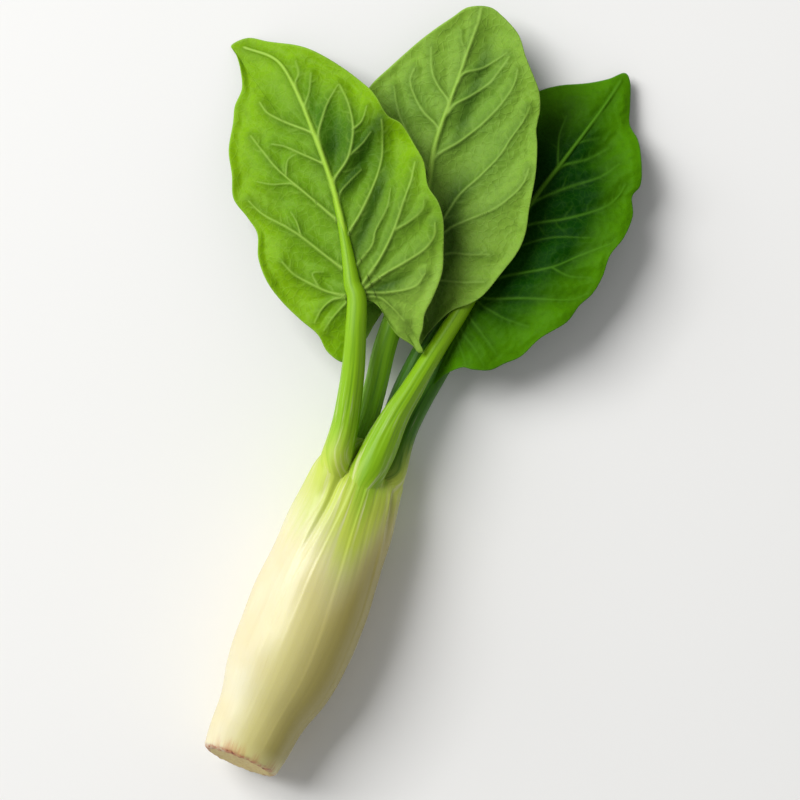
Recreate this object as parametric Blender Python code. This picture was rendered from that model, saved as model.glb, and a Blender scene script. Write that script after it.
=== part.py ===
"""A taro shoot lying on its side, cut at the base.

The swollen pale base rests on its belly. Three leaf stalks, one rolled young leaf and one
old trimmed stalk rise out of its neck, and three heart-shaped blades lie beyond them with
their undersides up. Metres, +Z up, +Y along the shoot from the cut end to the leaves.
Everything is drawn from the middle of the cut end and moved as one at the end, so that the
origin is under the middle of the whole shoot.
"""
from dataclasses import dataclass
from math import cos, pi, radians, sin, tan

import bmesh
import bpy
import numpy as np

MM = 0.001
GAP = 0.3 * MM                  # clear space between neighbouring pieces
NECK = 122.0 * MM               # where the base ends and the separate stalks begin
CUT_LEAN = radians(18.0)        # how far the knife cut leans back over the base
BELLY_HEIGHT = 19.2 * MM        # centre line of the base above the table
AROUND = 36                     # sides of the base
STALK_SIDES = 16
BLADE_CELLS = 24                # cells across a blade, each way
BLADE_THICK = 1.1 * MM
MARGIN_THICK = 0.6 * MM

# The base: distance from the cut, centre to the side, half width, half height (mm).
BASE_SECTIONS = (
    (0.0, 0.1, 13.2, 12.4),
    (1.2, 0.1, 14.2, 13.2),
    (10.0, 0.2, 15.2, 14.2),
    (20.0, 0.7, 16.4, 15.6),
    (30.0, 1.1, 18.9, 17.8),
    (40.0, 1.3, 20.4, 19.2),
    (50.0, 1.4, 21.0, 19.7),
    (62.0, 1.3, 20.9, 19.6),
    (74.0, 0.9, 20.2, 18.8),
    (86.0, 0.5, 19.1, 17.5),
    (98.0, 0.1, 17.8, 15.9),
    (110.0, -0.4, 16.3, 14.1),
    (117.0, -0.7, 15.6, 13.2),
    (121.7, -0.9, 14.4, 12.2),
)

# Stalks: side, along, height of the centre line, half width, half height (mm).
LEFT_STALK = (
    (-10.2, 122.0, 24.0, 5.3, 5.9),
    (-12.2, 128.0, 25.6, 4.8, 5.2),
    (-14.8, 136.0, 27.6, 4.4, 4.6),
    (-17.4, 146.0, 29.6, 4.0, 4.2),
    (-21.4, 157.0, 31.6, 3.7, 3.8),
    (-27.0, 169.4, 32.9, 3.2, 3.2),
    (-30.6, 174.0, 31.8, 2.5, 2.2),
    (-33.6, 177.8, 30.6, 1.5, 1.2),
)
MIDDLE_STALK = (
    (-5.9, 122.0, 12.8, 4.2, 4.1),
    (-6.0, 132.0, 14.8, 4.1, 4.0),
    (-7.6, 144.0, 17.0, 4.0, 3.9),
    (-10.2, 158.0, 19.2, 3.9, 3.8),
    (-12.0, 170.0, 20.7, 3.5, 3.4),
    (-12.6, 179.0, 21.5, 3.0, 3.0),
    (-13.2, 186.0, 20.2, 1.7, 1.5),
)
RIGHT_STALK = (
    (2.0, 122.0, 25.2, 5.7, 5.3),
    (2.6, 132.0, 25.0, 4.9, 4.6),
    (4.0, 143.0, 23.8, 3.9, 3.9),
    (5.8, 154.0, 21.8, 3.5, 3.5),
    (7.8, 166.0, 19.0, 3.3, 3.3),
    (9.8, 178.0, 17.3, 3.1, 3.1),
    (11.2, 187.0, 17.0, 2.8, 2.7),
    (12.6, 195.0, 16.7, 1.6, 1.4),
)
YOUNG_LEAF = (
    (2.1, 122.0, 11.6, 2.8, 2.9),
    (1.6, 134.0, 11.8, 2.9, 3.0),
    (1.4, 147.0, 12.1, 3.0, 3.0),
    (2.2, 160.0, 12.8, 2.9, 2.9),
    (3.3, 172.0, 14.4, 2.6, 2.6),
    (4.0, 184.0, 16.3, 2.6, 1.9),
    (4.4, 196.0, 16.9, 2.3, 1.5),
    (4.8, 208.0, 16.8, 0.8, 0.7),
)
REAR_STALK = (
    (9.3, 122.0, 15.4, 4.4, 4.6),
    (9.0, 132.0, 12.6, 3.9, 4.2),
    (9.4, 142.0, 10.0, 3.7, 4.0),
    (10.6, 153.0, 7.2, 3.6, 3.8),
    (12.6, 166.0, 4.9, 3.5, 3.7),
    (15.0, 179.0, 3.5, 3.4, 3.6),
)

# Blade margins, clockwise from the notch: to the side of the stalk's end and along (mm).
LEFT_MARGIN = (
    (0.0, -2.8), (4.0, -4.8), (6.4, -8.8), (7.1, -15.2), (8.6, -20.6), (11.8, -25.4),
    (12.8, -28.6), (14.6, -28.9), (14.8, -25.0), (17.5, -21.6), (20.3, -17.0), (25.2, -12.8), (31.6, -6.0), (35.5, 1.9), (39.0, 10.3),
    (40.0, 17.2), (39.0, 24.2), (41.0, 32.1), (40.6, 39.1), (39.2, 48.3), (35.8, 53.4),
    (34.5, 62.5), (31.5, 69.8), (27.2, 77.5), (21.7, 85.2), (16.3, 90.6), (7.5, 96.6),
    (1.2, 101.2), (-5.2, 101.2), (-4.4, 97.8), (-5.0, 91.5), (-8.2, 84.4), (-13.0, 79.6),
    (-16.1, 74.0), (-21.2, 65.5), (-23.6, 56.5), (-26.4, 48.3), (-24.5, 40.1), (-23.5, 33.0),
    (-26.5, 24.9), (-26.9, 15.9), (-24.9, 7.4), (-21.4, -1.1), (-17.7, -8.6), (-16.9, -15.6),
    (-13.5, -21.1), (-9.0, -20.1), (-6.0, -12.2), (-3.0, -5.7),
)
MIDDLE_MARGIN = (
    (0.0, -2.9), (4.0, -6.9), (7.5, -14.9), (10.5, -19.4), (12.5, -14.5), (15.5, -8.5),
    (19.0, -3.5), (24.5, 0.4), (28.4, 4.9), (32.4, 13.8), (35.9, 22.3), (36.9, 29.7),
    (35.9, 38.7), (34.9, 50.7), (32.9, 60.7), (31.0, 66.8), (30.5, 73.8), (28.5, 79.9),
    (25.0, 85.0), (20.5, 91.1), (16.0, 98.2), (8.5, 103.5), (3.0, 105.4), (-4.1, 103.3),
    (-8.6, 98.3), (-14.2, 91.9), (-19.2, 85.4), (-25.8, 75.4), (-30.8, 66.9), (-33.9, 55.8),
    (-34.9, 42.7), (-33.3, 28.5), (-30.3, 14.4), (-27.2, 2.3), (-23.2, -8.8), (-18.2, -18.8),
    (-12.2, -25.4), (-8.6, -21.9), (-6.6, -14.9), (-3.5, -6.9),
)
RIGHT_MARGIN = (
    (0.0, -2.8), (3.0, -8.9), (4.5, -19.9), (6.0, -30.0), (7.6, -36.0), (9.0, -31.0),
    (12.5, -25.5), (16.5, -23.7), (21.5, -20.5), (24.5, -15.6), (27.9, -10.1), (29.9, -1.1),
    (34.4, 8.8), (34.9, 16.3), (36.4, 22.7), (35.9, 29.7), (33.9, 37.3), (34.4, 45.8),
    (32.8, 54.0), (28.8, 59.7), (28.9, 64.7), (25.6, 70.5), (19.6, 77.8), (13.6, 81.6),
    (9.6, 88.0), (5.1, 94.7), (1.5, 96.4), (-2.0, 91.5), (-7.1, 86.5), (-15.8, 79.5),
    (-21.4, 72.4), (-26.4, 61.7), (-28.9, 49.4), (-28.9, 37.1), (-27.3, 22.8), (-24.3, 8.6),
    (-20.2, -2.6), (-14.1, -10.2), (-8.1, -11.3), (-3.5, -6.3),
)


@dataclass
class Blade:
    """One blade: where its stalk ends, which way it points, its margin and its bends."""

    name: str
    root: tuple          # side, along, height of the blade where the stalk meets it (mm)
    heading: float       # degrees to the right of +Y
    length: float        # mm from the stalk's end to the tip
    margin: tuple
    midrib: tuple        # points of the midrib from the stalk's end to the tip (mm)
    middle: tuple        # a point of the blade from which all of its margin is in sight (mm)
    roll: float          # rise per length toward the right margin
    tip_drop: float      # how far the tip hangs below the root (mm)
    lobe_drop: float     # how far a lobe 20 mm behind the root hangs (mm)
    trough: tuple        # from (u, v) to (u, v), half width and depth of a hollow (mm)
    ripple: float        # height of the margin's waves (mm)
    waves: int           # number of them
    rib_start: int       # where the rib begins, in sixtieths of the midrib
    colour: tuple


LEFT_BLADE = Blade(
    "blade_left", (-27.7, 170.5, 28.6), -46.1, 100.0, LEFT_MARGIN,
    ((0.0, 0.0), (4.7, 19.0), (8.0, 38.0), (9.2, 58.0), (9.4, 76.5), (7.2, 89.0), (-1.5, 98.4)),
    (7.0, 36.0), 0.20, 27.0, 2.2, (12.0, 29.0, 46.0, 51.0, 9.0, 4.0), 1.3, 9, 7, (0.27, 0.50, 0.06))
MIDDLE_BLADE = Blade(
    "blade_middle", (-12.1, 179.6, 17.4), -7.9, 104.6, MIDDLE_MARGIN,
    ((0.0, 0.0), (0.5, 15.0), (-1.4, 40.0), (-2.5, 54.0), (-0.6, 78.0), (0.8, 99.0), (0.5, 103.8)),
    (0.0, 36.0), 0.20, 3.0, 3.6, (10.0, 12.0, 10.0, 92.0, 7.0, 1.5), 1.0, 8, 6, (0.22, 0.42, 0.10))
RIGHT_BLADE = Blade(
    "blade_right", (10.8, 188.5, 13.0), 11.2, 96.0, RIGHT_MARGIN,
    ((0.0, 0.0), (0.0, 38.0), (1.0, 57.0), (2.2, 82.0), (2.0, 93.0)),
    (5.0, 34.0), 0.30, 10.5, -0.6, (10.0, 10.0, 10.0, 80.0, 7.0, 1.0), 1.6, 9, 6, (0.06, 0.22, 0.02))


def spline(points, count, closed=False):
    """Even samples of a smooth curve through the points."""
    pts = np.asarray(points, float)
    if closed:
        pts = np.vstack((pts[-1:], pts, pts[:2]))
    else:
        pts = np.vstack((2 * pts[0] - pts[1], pts, 2 * pts[-1] - pts[-2]))
    fine = np.linspace(0.0, len(pts) - 3, 40 * (len(pts) - 3) + 1)
    span = np.minimum(fine.astype(int), len(pts) - 4)
    f = (fine - span)[:, None]
    a, b, c, d = (pts[span + k] for k in range(4))
    curve = b + 0.5 * f * (c - a + f * (2 * a - 5 * b + 4 * c - d + f * (3 * (b - c) + d - a)))
    run = np.r_[0.0, np.cumsum(np.linalg.norm(np.diff(curve[:, :2], axis=0), axis=1))]
    at = np.linspace(0.0, run[-1], count + 1)[:-1] if closed else np.linspace(0.0, run[-1], count)
    return np.stack([np.interp(at, run, curve[:, k]) for k in range(pts.shape[1])], 1)


def make_piece(name, points, faces, colour, roughness=0.45):
    """A named object with its own material, facing out, with shared corners welded."""
    mesh = bpy.data.meshes.new(name)
    mesh.from_pydata([tuple(p) for p in points], [], faces)
    shape = bmesh.new()
    shape.from_mesh(mesh)
    bmesh.ops.remove_doubles(shape, verts=shape.verts, dist=0.00001)
    bmesh.ops.recalc_face_normals(shape, faces=shape.faces)
    shape.to_mesh(mesh)
    shape.free()
    mesh.polygons.foreach_set("use_smooth", [True] * len(mesh.polygons))
    piece = bpy.data.objects.new(name, mesh)
    bpy.context.scene.collection.objects.link(piece)
    material = bpy.data.materials.new(name)
    material.use_nodes = True
    shader = material.node_tree.nodes["Principled BSDF"]
    shader.inputs["Base Color"].default_value = (*colour, 1.0)
    shader.inputs["Roughness"].default_value = roughness
    shader.inputs["Metallic"].default_value = 0.0
    mesh.materials.append(material)
    return piece


def closed_tube(rings):
    """Points and faces of a tube through equal rings, with a fan over each end."""
    count, sides = rings.shape[:2]
    points = np.vstack((rings.reshape(-1, 3), rings[0].mean(0), rings[-1].mean(0)))
    faces = []
    for i in range(count - 1):
        for k in range(sides):
            n = (k + 1) % sides
            faces.append((i * sides + k, i * sides + n, (i + 1) * sides + n, (i + 1) * sides + k))
    last = (count - 1) * sides
    for k in range(sides):
        n = (k + 1) % sides
        faces.append((count * sides, n, k))
        faces.append((count * sides + 1, last + k, last + n))
    return points, faces


def base_rings():
    """Sections of the base, the first ones leaning with the knife cut, the belly on the table."""
    angle = np.linspace(0.0, 2 * pi, AROUND, endpoint=False)
    along, side, wide, high = (v[:, None] for v in (spline(BASE_SECTIONS, 26) * MM).T)
    x = side + wide * np.cos(angle)
    z = BELLY_HEIGHT + high * np.sin(angle)
    lean = tan(CUT_LEAN) * (z - BELLY_HEIGHT) * np.clip(1 - along / (60 * MM), 0, 1) ** 2
    y = along + lean
    return np.stack((x, y + 0 * x, np.maximum(z, 0.0)), 2)


def stalk_rings(path, count):
    """Oval sections across a stalk's centre line; the first one is square to the shoot."""
    line = spline(path, count) * MM
    centre, wide, high = line[:, :3], line[:, 3], line[:, 4]
    run = np.gradient(centre, axis=0)
    run[0] = (0.0, 1.0, 0.0)
    run /= np.linalg.norm(run, axis=1)[:, None]
    across = np.cross(run, (0.0, 0.0, 1.0))
    across /= np.linalg.norm(across, axis=1)[:, None]
    over = np.cross(across, run)
    angle = np.linspace(0.0, 2 * pi, STALK_SIDES, endpoint=False)
    rings = (centre[:, None] + across[:, None] * (wide[:, None] * np.cos(angle))[..., None]
             + over[:, None] * (high[:, None] * np.sin(angle))[..., None])
    rings[..., 2] = np.maximum(rings[..., 2], 0.0)
    return rings


def midrib_side(blade, v):
    """How far to the side the midrib is at each distance along the blade."""
    line = spline(blade.midrib, 60)
    return np.interp(v, line[:, 1], line[:, 0])


def hollow(trough, u, v):
    """Depth of a trough along a line: deepest on the line and gone at both of its ends."""
    u0, v0, u1, v1, half, depth = trough
    length = np.hypot(u1 - u0, v1 - v0)
    along = ((u - u0) * (u1 - u0) + (v - v0) * (v1 - v0)) / length
    aside = ((u - u0) * (v1 - v0) - (v - v0) * (u1 - u0)) / length
    ends = np.clip(along / 12.0, 0, 1) * np.clip((length - along) / 12.0, 0, 1)
    return depth * np.exp(-(aside / half) ** 2) * ends


def blade_height(blade, u, v, out, turn):
    """Height of a blade's mid surface: a tilted sheet with a hanging tip, hanging lobes,
    one long hollow and waves that grow toward the margin, away from the stalk."""
    ahead = np.clip(v / blade.length, 0, None)
    behind = np.clip(-v / 20.0, 0, None)
    level = blade.root[2] + blade.roll * u
    level -= blade.tip_drop * ahead ** 2 + blade.lobe_drop * behind ** 2
    level -= hollow(blade.trough, u, v)
    calm = np.clip(np.hypot(u, v) / 26.0, 0, 1) ** 2
    level += blade.ripple * calm * out ** 3 * np.sin(2 * pi * blade.waves * turn)
    return level


def disc_grid(cells):
    """A square grid seen as rings round its middle: how far out and how far round."""
    a, b = np.meshgrid(np.linspace(-1, 1, cells + 1), np.linspace(-1, 1, cells + 1), indexing="ij")
    out = np.maximum(np.abs(a), np.abs(b))
    safe = np.where(out > 0, out, 1.0)
    p, q = a / safe, b / safe
    turn = np.select([p >= 1, q >= 1, p <= -1], [q, 2 - p, 4 - q], 6 + p)
    return out, np.mod(turn + 1, 8) / 8


def blade_surface(blade, cells):
    """The blade's mid surface in the shoot's own axes, and how far out each point is."""
    out, turn = disc_grid(cells)
    rim = spline(blade.margin, 720, closed=True)
    rim = np.vstack((rim, rim[:1]))
    step = turn * 720
    mid = np.asarray(blade.middle)
    u = mid[0] + out * (np.interp(step, np.arange(721), rim[:, 0]) - mid[0])
    v = mid[1] + out * (np.interp(step, np.arange(721), rim[:, 1]) - mid[1])
    z = blade_height(blade, u, v, out, turn)
    h = radians(blade.heading)
    x = blade.root[0] + u * cos(h) + v * sin(h)
    y = blade.root[1] - u * sin(h) + v * cos(h)
    half = (BLADE_THICK + (MARGIN_THICK - BLADE_THICK) * out ** 2) / 2
    z = np.maximum(z * MM, half)
    return np.stack((x * MM, y * MM, z), 2), half


def blade_piece(blade):
    """A thin closed sheet with its midrib standing up on the underside, which faces up."""
    n = BLADE_CELLS + 1
    sheet, half = blade_surface(blade, BLADE_CELLS)
    lift = np.zeros_like(sheet)
    lift[..., 2] = half
    points = np.vstack(((sheet + lift).reshape(-1, 3), (sheet - lift).reshape(-1, 3)))
    faces = []
    for i in range(BLADE_CELLS):
        for k in range(BLADE_CELLS):
            a, b, c, d = i * n + k, (i + 1) * n + k, (i + 1) * n + k + 1, i * n + k + 1
            faces.append((a, b, c, d))
            faces.append((n * n + d, n * n + c, n * n + b, n * n + a))
    ring = ([k for k in range(n)] + [k * n + n - 1 for k in range(1, n)]
            + [(n - 1) * n + k for k in range(n - 2, -1, -1)] + [k * n for k in range(n - 2, 0, -1)])
    for a, b in zip(ring, ring[1:] + ring[:1]):
        faces.append((a, b, n * n + b, n * n + a))
    piece = make_piece(blade.name, points, faces, blade.colour)
    add_midrib(blade, piece, sheet)
    return piece


def add_midrib(blade, piece, sheet):
    """Join a tapering half-sunk rib to the blade from just past the stalk to near the tip."""
    line = spline(blade.midrib, 60)
    line = line[np.linspace(blade.rib_start, 55, 16).astype(int)]
    h = radians(blade.heading)
    x = (blade.root[0] + line[:, 0] * cos(h) + line[:, 1] * sin(h)) * MM
    y = (blade.root[1] - line[:, 0] * sin(h) + line[:, 1] * cos(h)) * MM
    flat = sheet.reshape(-1, 3)
    near = np.argsort((flat[:, 0] - x[:, None]) ** 2 + (flat[:, 1] - y[:, None]) ** 2, 1)[:, :4]
    z = flat[near, 2].mean(1)
    radius = np.linspace(1.5, 0.7, len(x))
    path = np.stack((x / MM, y / MM, z / MM + 0.35, radius, radius), 1)
    rings = rib_rings(path)
    rib = make_piece(blade.name + "_rib", *closed_tube(rings), blade.colour)
    join = piece.modifiers.new("midrib", "BOOLEAN")
    join.operation = "UNION"
    join.solver = "EXACT"
    join.object = rib
    rib.hide_render = True
    rib.display_type = "WIRE"
    bake(piece)
    bpy.data.objects.remove(rib, do_unlink=True)


def rib_rings(path):
    """Eight-sided sections across a rib's centre line."""
    centre = path[:, :3] * MM
    run = np.gradient(centre, axis=0)
    run /= np.linalg.norm(run, axis=1)[:, None]
    across = np.cross(run, (0.0, 0.0, 1.0))
    across /= np.linalg.norm(across, axis=1)[:, None]
    over = np.cross(across, run)
    angle = np.linspace(0.0, 2 * pi, 8, endpoint=False) + 0.2
    size = (path[:, 3] * MM)[:, None, None]
    return (centre[:, None] + across[:, None] * size * np.cos(angle)[None, :, None]
            + over[:, None] * size * np.sin(angle)[None, :, None])


def bake(piece):
    """Make the piece's modifiers permanent."""
    graph = bpy.context.evaluated_depsgraph_get()
    mesh = bpy.data.meshes.new_from_object(piece.evaluated_get(graph))
    piece.modifiers.clear()
    piece.data = mesh


def centre_on_origin(pieces):
    """Move every piece together so that the origin is under the middle of the shoot."""
    corners = np.array([v.co[:] for piece in pieces for v in piece.data.vertices])
    low, high = corners.min(0), corners.max(0)
    shift = -(low + high) / 2
    shift[2] = -low[2]
    for piece in pieces:
        for vertex in piece.data.vertices:
            vertex.co.x += shift[0]
            vertex.co.y += shift[1]
            vertex.co.z += shift[2]
    print("shift", [round(float(s), 6) for s in shift])


def main():
    """Build the nine pieces of the shoot."""
    for item in list(bpy.data.objects):
        bpy.data.objects.remove(item, do_unlink=True)
    pale, green, deep = (0.86, 0.82, 0.55), (0.42, 0.62, 0.08), (0.16, 0.36, 0.04)
    pieces = [
        make_piece("shoot_base", *closed_tube(base_rings()), pale, 0.38),
        make_piece("stalk_left", *closed_tube(stalk_rings(LEFT_STALK, 20)), green, 0.36),
        make_piece("stalk_middle", *closed_tube(stalk_rings(MIDDLE_STALK, 18)), green, 0.36),
        make_piece("stalk_right", *closed_tube(stalk_rings(RIGHT_STALK, 20)), green, 0.36),
        make_piece("young_leaf", *closed_tube(stalk_rings(YOUNG_LEAF, 20)), deep, 0.40),
        make_piece("stalk_rear", *closed_tube(stalk_rings(REAR_STALK, 16)), deep, 0.42),
        blade_piece(LEFT_BLADE),
        blade_piece(MIDDLE_BLADE),
        blade_piece(RIGHT_BLADE),
    ]
    centre_on_origin(pieces)


main()
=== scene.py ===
"""A taro shoot lying on its side: its swollen pale base, its stalks and its leaf blades.

Every new surface is worked out with numpy as a function of two parameters, in millimetres, in
the shoot's own axes: the middle of the cut end near the origin, +Y along the shoot to the
leaves, +Z up. ORIGIN then moves it to where the solid model lies.
"""
from math import cos, radians, sin, tan

import bpy
import numpy as np
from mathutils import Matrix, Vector


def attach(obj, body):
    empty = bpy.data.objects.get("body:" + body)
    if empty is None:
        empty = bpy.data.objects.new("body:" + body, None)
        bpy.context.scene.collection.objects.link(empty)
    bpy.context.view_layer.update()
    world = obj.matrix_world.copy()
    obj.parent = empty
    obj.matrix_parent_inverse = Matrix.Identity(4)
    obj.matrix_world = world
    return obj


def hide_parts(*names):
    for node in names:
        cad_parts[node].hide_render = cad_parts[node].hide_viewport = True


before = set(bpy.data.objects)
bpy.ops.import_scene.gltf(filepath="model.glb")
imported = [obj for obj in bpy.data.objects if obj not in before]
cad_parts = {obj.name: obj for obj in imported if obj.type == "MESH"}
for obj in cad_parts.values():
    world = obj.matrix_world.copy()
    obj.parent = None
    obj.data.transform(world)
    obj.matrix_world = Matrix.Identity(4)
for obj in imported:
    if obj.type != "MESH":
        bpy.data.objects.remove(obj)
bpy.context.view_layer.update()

bl_info = {
    "name": "Taro shoot",
    "version": (1, 0, 0),
    "blender": (4, 5, 0),
    "location": "View3D > Sidebar > Taro",
    "description": "Builds a young taro shoot lying on its side",
    "category": "Object",
}

MM = 0.001
ORIGIN = np.array((25.183, -140.235, 0.0))   # the middle of the cut end in the model's frame
CUT_LEAN = radians(15.0)                    # how far the knife cut leans back over the base
BELLY_HEIGHT = 19.2                         # centre line of the base above the table
DETAIL = 1.0         # share of the full number of grid points
BASE_GRID = (390, 248)                      # points along and round the base
STALK_GRID = (320, 76)                      # points along and round a stalk
BLADE_CELLS = 221                           # cells across a blade
MARGIN_STEPS = 1440                         # even steps round a blade's margin
CUT_FACE = (11.9, 10.9)                     # half width and half height of the flat of the cut
CUT_SIDE = 0.1                              # how far the cut's middle is to the side
RIM_RADIUS = 2.3                            # rounding between the cut and the skin
STALK_BLEND = 1.6                           # how softly the stalks run into the base
NECK_START, NECK_LENGTH = 110.0, 16.05      # where the base draws in to close in the stalks

# ----------------------------------------------------------------------------------------
# Shapes: the same driving sections, centre lines and margins as the solid model
# ----------------------------------------------------------------------------------------

# The base: distance from the cut, centre to the side, half width, half height.
BASE_SECTIONS = (
    (2.3, 0.1, 14.2, 13.2),
    (5.0, 0.1, 14.6, 13.6),
    (10.0, 0.2, 15.2, 14.2),
    (20.0, 0.7, 16.4, 15.6),
    (30.0, 1.1, 18.9, 17.8),
    (40.0, 1.3, 20.4, 19.2),
    (50.0, 1.4, 21.0, 19.7),
    (62.0, 1.3, 20.9, 19.6),
    (74.0, 0.9, 20.2, 18.6),
    (86.0, 0.5, 19.1, 16.2),
    (98.0, 0.1, 17.8, 12.9),
    (106.0, -0.3, 16.7, 11.6),
    (112.0, -0.7, 15.4, 10.4),
    (118.0, -0.9, 13.6, 8.0),
    (126.0, -1.0, 9.5, 5.0),
)

# Stalks: side, along, height of the centre line, half width, half height. Each starts
# inside the base and, where it carries a blade, goes on over the blade's midrib.
LEFT_STALK = (
    (-8.4, 92.0, 20.6, 6.4, 7.0),
    (-9.4, 104.0, 22.4, 6.2, 7.4),
    (-10.6, 115.0, 24.0, 5.5, 6.8),
    (-12.2, 126.0, 25.4, 4.8, 5.5),
    (-14.6, 136.0, 27.4, 4.4, 4.7),
    (-17.4, 146.0, 29.4, 4.1, 4.3),
    (-21.2, 157.0, 31.2, 3.8, 3.9),
)
MIDDLE_STALK = (
    (-5.0, 98.0, 13.4, 4.0, 4.0),
    (-5.8, 112.0, 13.0, 4.2, 4.1),
    (-6.0, 122.0, 13.2, 4.2, 4.1),
    (-6.2, 132.0, 14.8, 4.2, 4.0),
    (-7.8, 144.0, 17.0, 4.1, 3.9),
    (-10.0, 157.0, 19.0, 4.1, 3.8),
)
RIGHT_STALK = (
    (0.8, 92.0, 20.8, 7.2, 7.0),
    (1.4, 104.0, 23.0, 6.9, 7.4),
    (2.0, 116.0, 24.9, 6.2, 6.6),
    (2.2, 126.0, 25.2, 5.6, 5.5),
    (2.8, 136.0, 24.7, 4.5, 4.5),
    (4.2, 145.0, 23.4, 3.8, 3.9),
    (6.0, 156.0, 21.2, 3.5, 3.5),
    (7.8, 167.0, 18.9, 3.3, 3.3),
    (9.6, 178.0, 17.3, 3.2, 3.1),
)
YOUNG_LEAF = (
    (1.6, 104.0, 12.4, 2.8, 2.8),
    (1.8, 116.0, 11.8, 2.8, 2.9),
    (1.5, 134.0, 11.8, 2.9, 3.0),
    (1.4, 147.0, 12.1, 3.1, 3.0),
    (2.2, 160.0, 12.8, 3.0, 2.9),
    (3.3, 172.0, 14.4, 2.7, 2.6),
    (4.0, 184.0, 16.3, 2.6, 1.9),
    (4.4, 196.0, 16.9, 2.3, 1.5),
    (4.8, 206.0, 16.8, 1.2, 0.9),
    (4.9, 208.0, 16.8, 0.5, 0.5),
)
REAR_STALK = (
    (7.8, 94.0, 16.6, 7.0, 6.8),
    (8.9, 108.0, 16.4, 6.6, 6.6),
    (9.5, 118.0, 15.2, 5.3, 5.7),
    (9.2, 127.0, 13.4, 4.1, 4.6),
    (9.0, 134.0, 11.9, 3.8, 4.2),
    (9.6, 143.0, 9.7, 3.7, 4.0),
    (10.8, 153.0, 7.2, 3.6, 3.8),
    (12.6, 166.0, 4.9, 3.5, 3.7),
    (14.6, 177.0, 3.7, 3.4, 3.6),
    (14.95, 178.7, 3.55, 3.2, 3.4),
)

# Blade margins, clockwise from the notch: to the side of the stalk's end and along.
LEFT_MARGIN = (
    (0.0, -2.8), (4.0, -4.8), (6.4, -8.8), (7.1, -15.2), (8.6, -20.6), (11.8, -25.4),
    (12.8, -28.6), (14.6, -28.9), (14.8, -25.0), (17.5, -21.6), (20.3, -17.0), (25.2, -12.8),
    (31.6, -6.0), (35.5, 1.9), (39.0, 10.3), (40.0, 17.2), (39.0, 24.2), (41.0, 32.1),
    (40.6, 39.1), (39.2, 48.3), (35.8, 53.4), (34.5, 62.5), (31.5, 69.8), (27.2, 77.5),
    (21.7, 85.2), (16.3, 90.6), (7.5, 96.6), (1.2, 101.2), (-5.6, 101.2), (-5.3, 97.6),
    (-6.0, 91.5), (-8.2, 84.4), (-13.0, 79.6), (-16.1, 74.0), (-21.2, 65.5), (-23.6, 56.5),
    (-26.4, 48.3), (-24.5, 40.1), (-23.5, 33.0), (-26.5, 24.9), (-26.9, 15.9), (-24.9, 7.4),
    (-21.4, -1.1), (-17.7, -8.6), (-16.9, -15.6), (-13.5, -21.1), (-9.0, -20.1), (-6.0, -12.2),
    (-3.0, -5.7),
)
MIDDLE_MARGIN = (
    (0.0, -2.9), (4.0, -6.9), (7.5, -14.9), (10.5, -19.4), (12.5, -14.5), (15.5, -8.5),
    (19.0, -3.5), (24.5, 0.4), (28.4, 4.9), (32.4, 13.8), (35.9, 22.3), (36.9, 29.7),
    (35.9, 38.7), (34.9, 50.7), (32.9, 60.7), (31.0, 66.8), (30.5, 73.8), (28.5, 79.9),
    (25.0, 85.0), (20.5, 91.1), (16.0, 98.2), (8.5, 103.5), (3.0, 105.4), (-4.1, 103.3),
    (-8.6, 98.3), (-14.2, 91.9), (-19.2, 85.4), (-25.8, 75.4), (-30.8, 66.9), (-33.9, 55.8),
    (-34.9, 42.7), (-33.3, 28.5), (-30.3, 14.4), (-27.2, 2.3), (-23.2, -8.8), (-18.2, -18.8),
    (-12.2, -25.4), (-8.6, -21.9), (-6.6, -14.9), (-3.5, -6.9),
)
RIGHT_MARGIN = (
    (0.0, -2.8), (3.0, -8.9), (4.5, -19.9), (6.0, -30.0), (7.6, -36.0), (9.0, -31.0),
    (12.5, -25.5), (16.5, -23.7), (21.5, -20.5), (24.5, -15.6), (27.9, -10.1), (29.9, -1.1),
    (34.4, 8.8), (34.9, 16.3), (36.4, 22.7), (35.9, 29.7), (33.9, 37.3), (34.4, 45.8),
    (32.8, 54.0), (28.8, 59.7), (28.9, 64.7), (25.6, 70.5), (19.6, 77.8), (13.6, 81.6),
    (9.6, 88.0), (5.1, 94.7), (1.5, 96.4), (-2.0, 91.5), (-7.1, 86.5), (-15.8, 79.5),
    (-21.4, 72.4), (-26.4, 61.7), (-28.9, 49.4), (-28.9, 37.1), (-27.3, 22.8), (-24.3, 8.6),
    (-20.2, -2.6), (-14.1, -10.2), (-8.1, -11.3), (-3.5, -6.3),
)

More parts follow.
